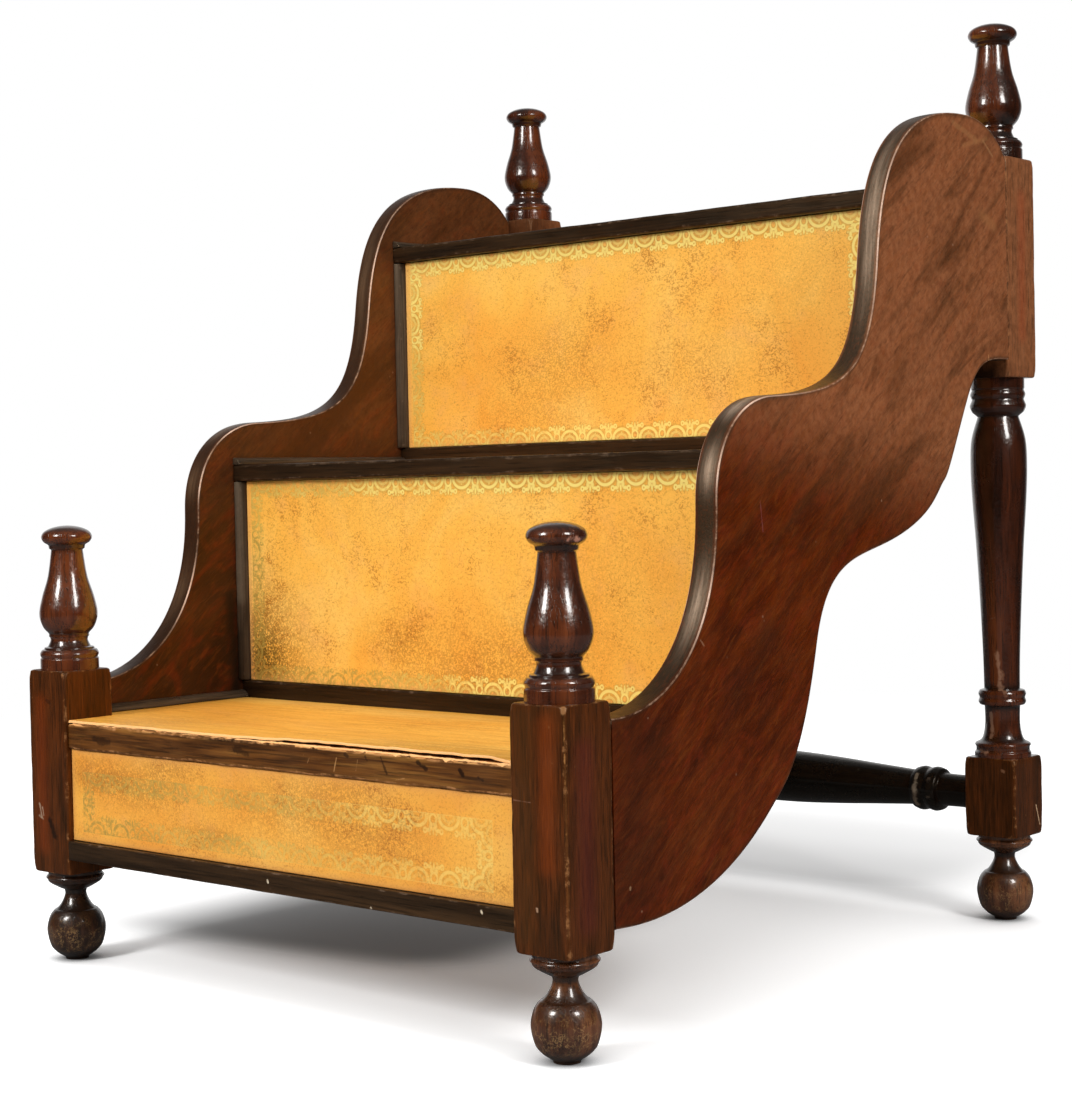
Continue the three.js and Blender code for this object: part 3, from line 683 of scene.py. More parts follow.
def onFace(axis, level, rows):
    # marks that lie on one flat face, whose rows leave out the coordinate that all of them share
    return [
        (start[:axis] + (level,) + start[axis:], end[:axis] + (level,) + end[axis:], *rest)
        for start, end, *rest in rows
    ]


# wear, colour marks, and some painted shade and highlights that the photograph shows: start, end and width in
# millimetres, strength, colour
postWearAndShade = [
    ((262, -329, 92), (261, -329, 238), 22.0, 0.4, (58, 38, 14)),
    ((300, -329, 92), (300, -329, 244), 3.0, 0.4, (104, 62, 28)),
    ((300.2, -329.2, 88), (299.5, -329.2, 242), 1.4, 0.55, (168, 116, 66)),
    ((298.5, -328.5, 244), (298.5, -328.5, 247), 5.0, 0.55, (160, 112, 70)),
    ((282, -329, 140), (283, -329, 234), 16.0, 0.3, (136, 54, 8)),
    ((284, -329, 84), (284, -329, 96), 24.0, 0.45, (40, 24, 12)),
    ((300, -308, 100), (300, -309, 215), 20.0, 0.4, (86, 28, 26)),
    ((-284, -329, 100), (-284, -329, 220), 16.0, 0.4, (120, 46, 8)),
    ((-289, -329, 134), (-286, -329, 123), 2.4, 0.45, (170, 150, 126)),
    ((-285, -329, 131), (-283.5, -329, 125), 1.8, 0.5, (170, 150, 126)),
    ((-290, -329, 124), (-284, -329, 121.5), 2.0, 0.4, (160, 140, 116)),
    ((-275, -329, 121), (-268, -329, 107), 7.0, 0.85, (24, 11, 5)),
    ((-275, -329, 223), (-271, -329, 221), 3.0, 0.5, (30, 12, 6)),
    ((272, -329, 109), (272.4, -329, 107.5), 2.6, 0.5, (196, 156, 124)),
    ((253, -329, 181.5), (268, -329, 181), 0.9, 0.4, (140, 98, 78)),
    ((287.5, 279, 136), (289, 279, 135), 4.0, 0.5, (150, 104, 74)),
    ((300, 316.4, 102), (300, 323.2, 84), 1.6, 0.7, (202, 166, 130)),
    ((300, 304, 520), (300, 306, 640), 14.0, 0.4, (150, 66, 34)),
    ((300, 279, 498), (300, 279, 672), 2.4, 0.7, (44, 22, 12)),
    # painted shade in the notch where the right panel's lower end meets the rear post
    ((282, 279, 484), (255, 279, 484), 30.0, 1.0, (22, 11, 7)),
    # darker over the front of the rear left block's top
    ((-300, 279, 660), (-250, 279, 660), 70.0, 0.85, (60, 34, 17)),
]
panelMarks = onFace(0, 300, [
    ((190, 694), (228, 683), 6.0, 0.22, (170, 122, 76)),
    ((206, 676), (246, 686), 5.0, 0.22, (166, 116, 70)),
    ((240, 684), (256, 672), 2.6, 0.22, (184, 140, 92)),
    ((236, 620), (256, 612), 9.0, 0.3, (160, 108, 64)),
    ((-176, 282), (-172, 278), 2.0, 0.35, (160, 120, 92)),
    ((-99, 381), (-96, 358), 1.2, 0.25, (140, 84, 88)),
    ((-262, 116), (-262, 115), 2.4, 0.5, (190, 152, 112)),
    ((-262, 120), (-250, 225), 60.0, 0.4, (44, 20, 10)),
    ((-150, 225), (-90, 275), 30.0, 0.3, (44, 20, 10)),
    ((244, 500), (246, 488), 1.6, 0.5, (190, 142, 92)),
])
railMarks = onFace(1, -329, [
    ((-1.2, 98.7), (-0.6, 97.5), 2.6, 0.9, (206, 190, 164)),
    ((110.5, 91.3), (111, 91), 2.6, 0.9, (206, 190, 164)),
    ((220.5, 100.9), (221, 100), 2.6, 0.9, (206, 190, 164)),
])
nosingMarks = onFace(1, -326.5, [
    ((-214, 193), (-196, 192), 6.0, 0.6, (24, 10, 6)),
    ((-37.4, 197), (-24, 194), 6.0, 0.6, (26, 12, 6)),
    ((85.3, 201), (88, 200), 3.5, 0.7, (28, 14, 8)),
    ((106, 201), (108, 198), 3.0, 0.7, (30, 16, 8)),
    ((122, 202), (128, 190), 2.2, 0.7, (30, 16, 8)),
    ((160, 200), (168, 196), 4.0, 0.8, (24, 12, 6)),
    ((201, 198), (203, 195), 4.5, 0.9, (26, 12, 6)),
    ((218, 194), (222, 192), 3.0, 0.8, (30, 16, 8)),
    ((76, 198), (73, 188), 1.1, 0.4, (214, 160, 100)),
    ((98, 198), (96, 190), 1.1, 0.4, (214, 160, 100)),
    ((136, 186), (146, 188), 1.0, 0.35, (206, 150, 96)),
    ((46, 196), (44, 192), 1.2, 0.4, (206, 150, 96)),
])
turnedWearAndHighlights = [
    # painted highlight: a pinkish patch on the front right finial's knob, on the side toward the right lamp
    ((292.5, -310, 361), (294.5, -307.5, 359.5), 7.5, 0.6, (206, 142, 116)),
    ((295.5, -305, 358), (296, -303, 357), 5.0, 0.45, (206, 142, 116)),
    ((279, 289, 240), (282, 289, 204), 5.5, 0.6, (160, 116, 88)),
    ((283, 289, 222), (286, 289, 202), 5.0, 0.5, (146, 102, 74)),
    ((272, 289, 184), (273.5, 289, 163), 5.0, 0.6, (160, 118, 92)),
    ((264, 285, 152), (272, 281, 150), 4.5, 0.6, (166, 122, 96)),
]
stretcherPaintedHighlights = [
    # painted highlights: paler rims on the stretcher's collars
    ((195, 289, 98), (195, 284, 111), 6.0, 0.6, (112, 96, 80)),
    ((195, 284, 111), (195, 289, 125), 6.0, 0.7, (132, 116, 98)),
    ((208, 286, 106), (208, 288, 122), 4.0, 0.4, (92, 78, 66)),
]
leftPanelPaintedShade = [
    # painted shade: a dark strip on the left panel beside the lower corner bead
    ((-280, -113, 212), (-280, -119, 300), 13.0, 0.9, (16, 9, 6)),
]
beadSheenAndShade = [
    # painted sheen on the upper parts of the left corner beads, and painted shade at the lower end of the
    # middle one
    ((-273, -118, 300), (-273, -118, 400), 16.0, 0.9, (116, 104, 88)),
    ((-273, -118, 220), (-273, -118, 262), 17.0, 0.95, (16, 11, 8)),
    ((-273, 96, 450), (-273, 96, 630), 16.0, 0.6, (112, 98, 84)),
]

darkTones = [(22, 13, 7), (41, 27, 15), (59, 40, 23)]
beadTones = [(36, 28, 21), (59, 48, 37), (82, 69, 55)]
beadWear = {"wear": 0.3, "wearTone": (96, 80, 66)}
polished = {"gloss": 0.5, "sheen": (1, 0.94, 0.86, 1)}
panelUsual = {
    "grain": "Y", "figure": 0.15, "turn": panelWood["slope"], "length": 0.55, "wear": 1.0, "pores": 0.18,
}
finishes = {
    "post": woodFinish(
        "postMahogany", [(50, 24, 5), (67, 31, 7), (82, 39, 11)], marks=postWearAndShade, wear=0.4, rough=0.34,
        wearTone=(142, 94, 54), hair=0.22, figure=0.12, streak=90.0, length=0.8,
        # painted light on the upper parts of the posts
        extra=faded(0.3, 0.52, 0.66, (156, 98, 62)),
    ),
    "turned": woodFinish(
        "turnedMahogany", [(38, 14, 4), (69, 29, 10), (102, 49, 20)], rough=0.23, coat=0.85,
        ripple=1.4, hair=0.04, marks=turnedWearAndHighlights, **polished,
    ),
    "foot": woodFinish(
        "footMahogany", [(46, 22, 10), (84, 46, 24), (122, 74, 42)], rough=0.28, coat=0.8,
        ripple=1.2, hair=0.06, extra=footScuffsAndShade, **polished,
    ),
    "panel": woodFinish(
        "figuredMahogany", [(62, 18, 1), (79, 27, 1), (97, 39, 5)], rough=0.38, streak=50.0, gloss=0.17,
        marks=panelMarks, wearTone=(176, 140, 114),
        extra=panelFigure(panelWood["faded"], panelWood["strip"], panelWood["rubbed"]), **panelUsual,
    ),
    # painted shade: the left panel is a darker copy of the right panel's figured mahogany
    "leftPanel": woodFinish(
        "figuredMahoganyShaded", [(36, 15, 4), (52, 25, 8), (70, 37, 14)], rough=0.36, streak=40.0,
        marks=leftPanelPaintedShade, wearTone=(168, 134, 108),
        extra=panelFigure(panelWood["leftFaded"], panelWood["leftStrip"], panelWood["leftPaintedSheen"]),
        **panelUsual,
    ),
    "railX": woodFinish(
        "darkMahoganyRail", darkTones, grain="X", rough=0.34, wearTone=(98, 78, 62), marks=railMarks,
    ),
    "beadY": woodFinish("darkMahoganyBead", beadTones, grain="Y", rough=0.32, **beadWear),
    "beadZ": woodFinish("darkMahoganyUpright", beadTones, rough=0.38, marks=beadSheenAndShade, **beadWear),
    "stretcher": woodFinish(
        "darkTurnedMahogany", [(7, 6, 5), (12, 10, 8), (22, 19, 16)], grain="X", rough=0.24, coat=0.4,
        marks=stretcherPaintedHighlights, wearTone=(90, 80, 66),
    ),
    "nosing": woodFinish(
        "wornMahogany", [(52, 27, 9), (82, 46, 16), (110, 67, 26)], grain="X", rough=0.42, streak=110.0,
        wearTone=(176, 122, 74), wear=0.8, marks=nosingMarks, extra=nosingWear,
    ),
    "board": woodFinish("boardWood", [(104, 72, 44), (140, 102, 64), (168, 128, 84)], grain="X", rough=0.6),
}
for stepName, look in leather["risers"].items():
    finishes[stepName + "Riser"] = riserFinish(stepName, *look)
finishes["tread"] = treadFinish()
print("finishes:", len(finishes))


# posts
posts = {
    "cornerRadius": 1.5, "endRound": 1.4, "lowEndSoft": 4.5, "lumps": 0.2, "perCorner": 8,
    "every": 5.0, "softReach": 4.5,
    "column": [
        [[0, 0.985], [0.012, 0.985]],
        [[0.016, 0.93], [0.026, 0.93]],
        [[0.03, 0.97], [0.036, 0.95], [0.048, 0.72], [0.085, 0.61], [0.135, 0.615]],
        [[0.138, 0.78], [0.147, 0.83], [0.155, 0.79]],
        [[0.158, 0.79], [0.167, 0.83], [0.176, 0.78]],
        [[0.179, 0.62], [0.28, 0.65], [0.42, 0.73], [0.56, 0.83],
         [0.68, 0.94], [0.77, 0.985], [0.84, 0.94], [0.9, 0.71]],
        [[0.912, 0.9], [0.927, 0.98], [0.941, 0.92]],
        [[0.945, 0.9], [0.958, 0.96], [0.97, 0.9]],
        [[0.974, 0.93], [1, 0.93]],
    ],
}


def squareStack(low, high, seed):
    # a square block as rings: its corners are rounder towards the ends
    places, inset = endStations(low, high, posts["endRound"], posts["every"])
    fromEnd = np.minimum(places - low, (high - places) * 1.6)
    corner = posts["cornerRadius"] + posts["lowEndSoft"] * np.exp(-fromEnd / posts["softReach"])
    corner += np.abs(waver(places, seed, 60, 0.5))
    half = halfPost - inset - np.abs(waver(places, seed + 1, 140, posts["lumps"]))
    flat = boxRing(half, half, np.minimum(corner, half - 2), posts["perCorner"])
    mark = np.maximum(arrisMark(posts["perCorner"]), (inset > 0.1)[:, None])
    return np.concatenate([flat, np.broadcast_to(places[:, None, None], flat.shape[:2] + (1,))], -1), mark


def postMiddle(side, rear):
    x = side * (steps["width"] / 2 - halfPost)
    return x, frontY + (steps["depth"] - halfPost if rear else halfPost)


def postPiece(node, side, rear, seed):
    # a front post is one square block, a rear one has a turned column between two blocks, as one stack
    middle = (*postMiddle(side, rear), 0)
    if not rear:
        rings, mark = squareStack(steps["footHeight"], steps["frontBlockTop"], seed)
        skin(node, rings + middle, "post", "mahogany", sharp=33, arris=mark, recess=0.0)
        return
    lowerTop = steps["footHeight"] + steps["rearLowerBlock"]
    upperBottom = steps["rearTop"] - steps["rearUpperBlock"]
    lower, lowerMark = squareStack(steps["footHeight"], lowerTop, seed)
    upper, upperMark = squareStack(upperBottom, steps["rearTop"], seed + 3)
    line = softened(turnedLine(posts["column"], upperBottom - lowerTop, halfPost))
    line[:, 1] = np.clip(line[:, 1], 0.05, upperBottom - lowerTop - 0.05)
    around = lower.shape[1]
    # the column's points start where the blocks' do, at the beginning of a rounded corner
    start = np.pi / 4 - (posts["perCorner"] - 1) / 2 * 2 * np.pi / around
    column = roundRings(line, (0, 0, lowerTop), around, start)
    recess = np.concatenate([np.zeros(len(lower)), recessOf(line), np.zeros(len(upper))])[:, None]
    mark = np.concatenate([lowerMark, np.zeros(column.shape[:2]), upperMark])
    rings = np.concatenate([lower, column, upper]) + middle
    piece = skin(node, rings, "post", "mahogany", sharp=33, arris=mark, recess=recess)
    # the turned part has the polish of the finials
    piece.data.materials.append(finishes["turned"])
    ring = np.arange(len(piece.data.polygons)) // around
    turned = (ring >= len(lower) - 1) & (ring < len(lower) + len(line))
    piece.data.polygons.foreach_set("material_index", turned.astype(np.int32))


# finials and feet
finials = {
    "rows": [
        [[0, 0.985], [0.075, 0.985]],
        [[0.083, 0.94], [0.11, 0.99], [0.137, 0.92]],
        [[0.14, 0.84], [0.153, 0.84]],
        [[0.158, 0.72], [0.2, 0.63], [0.226, 0.64]],
        [[0.229, 0.68], [0.245, 0.67]],
        [[0.25, 0.67], [0.3, 0.87], [0.388, 0.98], [0.509, 0.868], [0.65, 0.66], [0.833, 0.53]],
        [[0.84, 0.6], [0.866, 0.62]],
        [[0.87, 0.65], [0.887, 0.78], [0.92, 0.855], [0.956, 0.77], [0.982, 0.54], [0.996, 0.25], [1, 0.01]],
    ],
    "around": 72, "finish": "turned", "scuffed": (0.5, 0.01),
    "heights": {"frontRight": 123.4, "frontLeft": 122.5, "rearRight": 120.8, "rearLeft": 119.2},
}
feet = {
    "rows": [
        [[0, 0.385], [0.027, 0.39]],
        [[0.03, 0.44], [0.09, 0.7], [0.17, 0.88], [0.34, 0.985], [0.485, 0.885], [0.56, 0.72]],
        [[0.565, 0.66], [0.61, 0.53], [0.68, 0.41], [0.74, 0.355], [0.79, 0.385]],
        [[0.795, 0.46], [0.83, 0.66], [0.87, 0.86], [0.9, 0.93]],
        [[0.905, 0.91], [0.93, 0.985], [0.955, 0.93]],
        [[0.96, 0.9], [1, 0.9]],
    ],
    "around": 72, "finish": "foot", "scuffed": (0.26, 0.24),
}


def turning(node, shape, height, place):
    # a finial or a foot: its softened profile turned about its own middle
    line = softened(turnedLine(shape["rows"], height, halfPost))
    line[:, 1] = np.clip(line[:, 1], 0, height)
    line[:, 0] = np.maximum(line[:, 0], 0.25)
    middle, reach = shape["scuffed"]
    scuff = np.exp(-((line[:, 1:] / height - middle) / reach) ** 2)
    skin(node, roundRings(line, place, shape["around"]), shape["finish"], "mahogany", sharp=50,
         recess=recessOf(line)[:, None], arris=0.0, scuff=scuff)


seed = 10
for sideName, side in (("left", -1), ("right", 1)):
    for endName, rear in (("front", False), ("rear", True)):
        stem = f"{endName}_{sideName}_"
        middle = postMiddle(side, rear)
        top = steps["rearTop"] if rear else steps["frontBlockTop"]
        postPiece(stem + "post", side, rear, seed)
        turning(stem + "finial", finials, finials["heights"][pieceName(stem)], (*middle, top))
        turning(stem + "foot", feet, steps["footHeight"], (*middle, 0))
        seed += 10
print("posts, finials and feet made")


# side panels
panels = {
    "topEnds": (235.0, 672.4), "bottomEnds": (89.4, 497.4),  # heights at the front and the rear post
    "arris": 1.5, "crown": 0.5, "along": 230,
    # painted sheen: lighter patches on the edge strip at these heights, and where across the strip they lie
    "rubbed": [(405, 15), (306, 24), (600, 56), (452, 8)],  # heights of the light patches on the edge strip
    "rubbedAt": 1.5, "rubbedWide": 6.0, "postGap": 0.3,
    # handle, handle, end of each curve in goings and rises; None is the rear post
    "top": [
        [[0.515, 1.124], [0.804, 1.339], [0.804, 1.81]],
        [[0.804, 2.042], [0.959, 2.175], [1.145, 2.184]],
        [[1.613, 2.207], [1.787, 2.264], [1.84, 2.72]],
        [[1.88, 3.066], [2.02, 3.321], [2.481, 3.321]],
        [[2.6, 3.321], [2.707, 3.275], None],
    ],
    "bottom": [
        [[0.276, 0.436], [0.702, 0.362], [1.103, 0.729]],
        [[1.182, 0.801], [1.293, 0.865], [1.397, 1.289]],
        [[1.469, 1.58], [1.642, 1.587], [1.864, 1.638]],
        [[2.21, 1.721], [2.236, 1.835], [2.29, 1.873]],
        [[2.323, 1.897], [2.387, 2.045], [2.468, 2.197]],
        [[2.552, 2.354], [2.63, 2.362], None],
    ],
}


def onPanel(goings, rises):
    along = steps["noseSetback"] + min(goings, 2) * steps["going"] + max(goings - 2, 0) * steps["topDepth"]
    up = min(rises, 1) * steps["firstRise"] + max(rises - 1, 0) * steps["rise"]
    return np.array([along, up])


def panelLine(which):
    # a chain of Bezier curves from post to post, with its points spread evenly along it
    front = steps["postSide"] + panels["postGap"]
    ends = zip((front, steps["depth"] - front), panels[which + "Ends"])
    start, end = (np.array(point) for point in ends)
    points, here, t = [start[None]], start, np.linspace(0, 1, 33)[1:, None]
    for first, second, last in panels[which]:
        there = end if last is None else onPanel(*last)
        a, b = onPanel(*first), onPanel(*second)
        points.append((1 - t) ** 3 * here + 3 * t * (1 - t) ** 2 * a
                      + 3 * t ** 2 * (1 - t) * b + t ** 3 * there)
        here = there
    points = np.concatenate(points)
    length = lengthAlong(points)
    return readOff(points, length, np.linspace(0, length[-1], panels["along"]))


def panelPiece(node, side, finish):
    # a ribbon: at each place along it a flat section runs from the lower line to the upper one,
    # with a quarter circle at its four corners
    round, half = panels["arris"], steps["panelThickness"] / 2
    arc = np.linspace(0, np.pi / 2, 5)
    strip = np.linspace(-1, 1, 9)[1:-1]
    faces = np.array([0.012, 0.04, 0.1, 0.2, 0.32, 0.44, 0.56, 0.68, 0.8, 0.9, 0.96, 0.988])

    def edge(which, sign):
        # quarter circle, slightly crowned strip, quarter circle, from one face to the other
        line = panelLine(which)
        way = np.gradient(line, axis=0)
        way /= np.linalg.norm(way, axis=1)[:, None]
        outward = sign * np.stack([-way[:, 1], way[:, 0]], -1)
        turn = np.concatenate([arc, strip * 0 + np.pi / 2, np.pi - arc[::-1]])
        lift = np.concatenate([0 * arc, panels["crown"] * (1 - strip ** 2), 0 * arc])
        rounding = quarter(round, 5)[0]
        x = np.concatenate([half - rounding, -strip * (half - round), -half + rounding[::-1]])
        inset = round * (1 - np.sin(turn)) - lift
        flat = line[:, None] - outward[:, None] * inset[None, :, None]
        return np.concatenate([np.broadcast_to(sign * x[None, :, None], flat.shape[:2] + (1,)), flat], -1)

    upper, lower = edge("top", 1), edge("bottom", -1)
    share = faces[None, :, None]
    back = upper[:, -1:] * (1 - share) + lower[:, :1] * share
    face = lower[:, -1:] * (1 - share) + upper[:, :1] * share
    rings = np.concatenate([upper, back, lower, face], 1)
    arris = np.concatenate([np.sin(2 * arc) ** 0.5, 0 * strip, np.sin(2 * arc) ** 0.5])
    edgeStrip = np.concatenate([0 * arc + 0.5, 0 * strip + 1, 0 * arc + 0.5])
    mark, stripMark = (np.tile(np.concatenate([value, 0 * faces]), 2) for value in (arris, edgeStrip))
    middle = steps["width"] / 2 - half
    rings[..., 0] = side * middle + side * rings[..., 0]
    rings[..., 1] += frontY
    up, across = rings[..., 2], side * rings[..., 0] - middle
    # where the painted sheen and the painted arris highlight lie
    lit = sum(np.exp(-((up - height) / reach) ** 2) for height, reach in panels["rubbed"])
    rubbed = lit * np.exp(-((across - panels["rubbedAt"]) / panels["rubbedWide"]) ** 2)
    skin(node, rings, finish, "figured_mahogany", arris=mark, strip=stripMark,
         rubbed=np.clip(rubbed, 0, 1), lit=np.clip(lit, 0, 1))


panelPiece("left_side_panel", -1, "leftPanel")
panelPiece("right_side_panel", 1, "panel")
print("side panels made")


# rails, nosings and stretcher
bar("front_bottom_rail", 0, "railX", "dark_mahogany", corner=1.0, seed=51, grow=(-13, -0.6, 0))
bar("back_rail", 0, "railX", "mahogany", corner=1.5, seed=52)
bar("low_tread_nosing", 0, "nosing", "worn_mahogany", corner=1.8, lumps=0.5, every=3.0, seed=53)
for n, stepName in enumerate(("middle", "top")):
    bar(stepName + "_tread_nosing", 0, "railX", "dark_mahogany", corner=2.2, seed=55 + n)
    bar(stepName + "_riser_rail", 0, "railX", "dark_mahogany", corner=1.4, seed=60 + n)

stretcher = {
    "radius": 25.0, "halfLength": 249.7, "height": 111.0, "around": 56,
    "rows": [
        [[0, 1], [0.22, 0.975], [0.41, 0.875], [0.56, 0.765], [0.75, 0.63]],
        [[0.755, 0.75], [0.78, 0.81], [0.803, 0.75]],
        [[0.808, 0.75], [0.832, 0.81], [0.855, 0.75]],
        [[0.862, 0.6], [0.93, 0.585], [1, 0.61]],
    ],
}


def stretcherPiece():
    # half a profile and its mirror image, turned about X
    half = turnedLine(stretcher["rows"], stretcher["halfLength"], stretcher["radius"])
    line = softened(np.concatenate([half[:0:-1] * (1, -1), half]))
    line[:, 1] = np.clip(line[:, 1], -stretcher["halfLength"], stretcher["halfLength"])
    rings = roundRings(line, (0, 0, 0), stretcher["around"])[..., [2, 0, 1]]
    rings = rings + (0, frontY + steps["depth"] - halfPost, stretcher["height"])
    skin("rear_stretcher", rings, "stretcher", "dark_mahogany", sharp=50,
         recess=recessOf(line)[:, None], arris=0.0)


stretcherPiece()
print("rails and stretcher made")


# beads
beads = {
    "endRound": 1.2, "every": 6.0, "uneven": 0.25,
    "worn": (0.8, 0.25),  # where on its quarter circle it is rubbed, and how widely (radians)
}


def quarterBead(node, along, finish, towards, seed):
    # a quarter round along one axis: the middle of its curve is the corner where its two flat sides meet
    low, high = boxOf(node)
    places, inset = endStations(low[along], high[along], beads["endRound"], beads["every"])
    sizes = high - low
    arc = np.linspace(0.04, np.pi / 2 - 0.04, 12)
    flats = [np.concatenate([np.cos(arc), [0, 0, 0.45]]), np.concatenate([np.sin(arc), [0.5, 0, 0]])]
    rings = np.zeros((len(places), len(flats[0]), 3))
    rings[..., along] = places[:, None]
    shrink = (inset + np.abs(waver(places, seed, 120, beads["uneven"])))[:, None]
    for axis, flat, way in zip(otherAxes(along), flats, towards):
        start = low[axis] if way > 0 else high[axis]
        rings[..., axis] = start + way * flat * (sizes[axis] - shrink)
    wornAt, wornWide = beads["worn"]
    arris = np.concatenate([np.exp(-((arc - wornAt) / wornWide) ** 2), [0, 0, 0]])
    skin(node, rings, finish, "dark_mahogany", arris=arris)


for sideName, side in (("left", -1), ("right", 1)):
    for stepName in ("low", "middle", "top"):
        stem = f"{stepName}_{sideName}_"
        quarterBead(stem + "tread_bead", 1, "beadY", (-side, 1), seed)
        bar(stem + "bearer", 1, "board", "board_wood", seed=seed + 1)
        if stepName != "low":
            quarterBead(stem + "corner_bead", 2, "beadZ", (-side, -1), seed + 2)
        seed += 3
print("beads made")


# treads and risers
def blobs(x, z, places):
    # soft round stains: each (x share, z share, radius share, strength) from -1 to 1 across and up
    total = 0 * x
    for atX, atZ, size, strength in places:
        total = total + strength * np.exp(-(((x - atX) ** 2 + ((z - atZ) * 0.5) ** 2) / size ** 2))
    return np.clip(total, 0, 1)


risers = {
    "rim": 0.7, "swell": 0.25, "edgeReach": 3.0,
    "stains": {
        "low": [
            (-0.85, 0.5, 0.2, 0.45), (-0.65, 0.2, 0.2, 0.4), (-0.5, 0.8, 0.14, 0.4), (0.0, 0.2, 0.3, 0.3),
            (0.45, -0.1, 0.25, 0.35), (-0.3, -0.5, 0.13, 0.4), (0.3, 0.7, 0.25, 0.3), (0.9, -0.8, 0.13, 0.3),
        ],
        "middle": [
            (-0.97, -0.8, 0.24, 1.0), (-0.95, -0.2, 0.15, 0.3), (-0.3, -0.55, 0.14, 0.4),
            (0.02, -0.9, 0.26, 0.5), (0.35, -0.5, 0.2, 0.3), (-0.5, 0.8, 0.4, 0.15), (0.6, 0.1, 0.4, 0.15),
            (0.0, 0.9, 0.5, 0.1),
        ],
        "top": [
            (-0.9, 0.4, 0.25, 0.15), (-0.25, -0.1, 0.2, 0.3), (-0.4, -0.8, 0.3, 0.3), (0.3, -0.4, 0.3, 0.25),
            (0.7, 0.5, 0.3, 0.15), (0.1, 0.8, 0.4, 0.1),
        ],
    },
    # how much gilt is left: at the left end, the right end, and lost towards the bottom left
    "kept": {"low": (0.0, 0.6, 0.0), "middle": (0.15, 1.2, 0.45), "top": (0.6, 1.1, 0.35)},
}


def riserLeather(stepName, seed):
    # a thin plate, as rings across X that run up its face and down its back: the rim is a quarter circle,
    # and the face sinks and swells a little
    node = stepName + "_riser_leather"
    low, high = boxOf(node)
    rim, thick, height = risers["rim"], high[1] - low[1], high[2] - low[2]
    x, inset = endStations(low[0], high[0], rim, 5.0)
    up, sunk = quarter(rim, 4)
    middle = np.linspace(low[2] + 0.02 * height, high[2] - 0.02 * height, 30)
    z = np.concatenate([low[2] + up, middle, high[2] - up[::-1]])
    sunk = np.concatenate([sunk, 0 * middle, sunk[::-1]])
    gridX, gridZ = np.meshgrid(x, z, indexing="ij")
    fromRim = np.minimum.reduce([gridX - low[0], high[0] - gridX, gridZ - low[2], high[2] - gridZ])
    swell = risers["swell"] + waver(gridX + 0.4 * gridZ, seed, 230, 0.12)
    swell = swell + waver(gridZ - 0.3 * gridX, seed + 1, 150, 0.1)
    swell = np.clip(swell, 0, 0.5) * np.clip(fromRim / 12, 0, 1)
    faceY = low[1] + np.minimum(sunk + inset[:, None], thick - 0.05) + swell
    backRows = [-1, 25, 12, 0]
    face = np.stack([gridX, faceY, gridZ], -1)
    back = np.stack([gridX, np.full_like(gridX, high[1]), gridZ], -1)[:, backRows]
    rings = np.concatenate([face, back], 1)
    shareX = (rings[..., 0] - (low[0] + high[0]) / 2) / ((high[0] - low[0]) / 2)
    shareZ = (rings[..., 2] - (low[2] + high[2]) / 2) / (height / 2)
    edge = np.exp(-np.concatenate([fromRim, fromRim[:, backRows]], 1) / risers["edgeReach"])
    atLeft, atRight, lost = risers["kept"][stepName]
    kept = atLeft + (atRight - atLeft) * (shareX + 1) / 2 - lost * np.clip(-shareZ * 0.5 - shareX * 0.5, 0, 1)
    kept = np.clip(kept + waver(rings[..., 0] + 2 * rings[..., 2], seed + 2, 300, 0.15), 0, 1)
    skin(node, rings, stepName + "Riser", "riser_leather",
         stain=blobs(shareX, shareZ, risers["stains"][stepName]), edge=edge, kept=kept)


treads = {
    "stains": [(-0.6, -0.6, 0.2, 0.3), (0.5, -0.7, 0.25, 0.35), (0.1, 0.3, 0.3, 0.2)],
    "curl": 0.25, "lifted": 1.8, "liftReach": 9.0, "tornBack": 3.2,
    "liftAcross": (-40, 90, 25),  # mm across: where the lift begins, grows over, and ends before the post
}


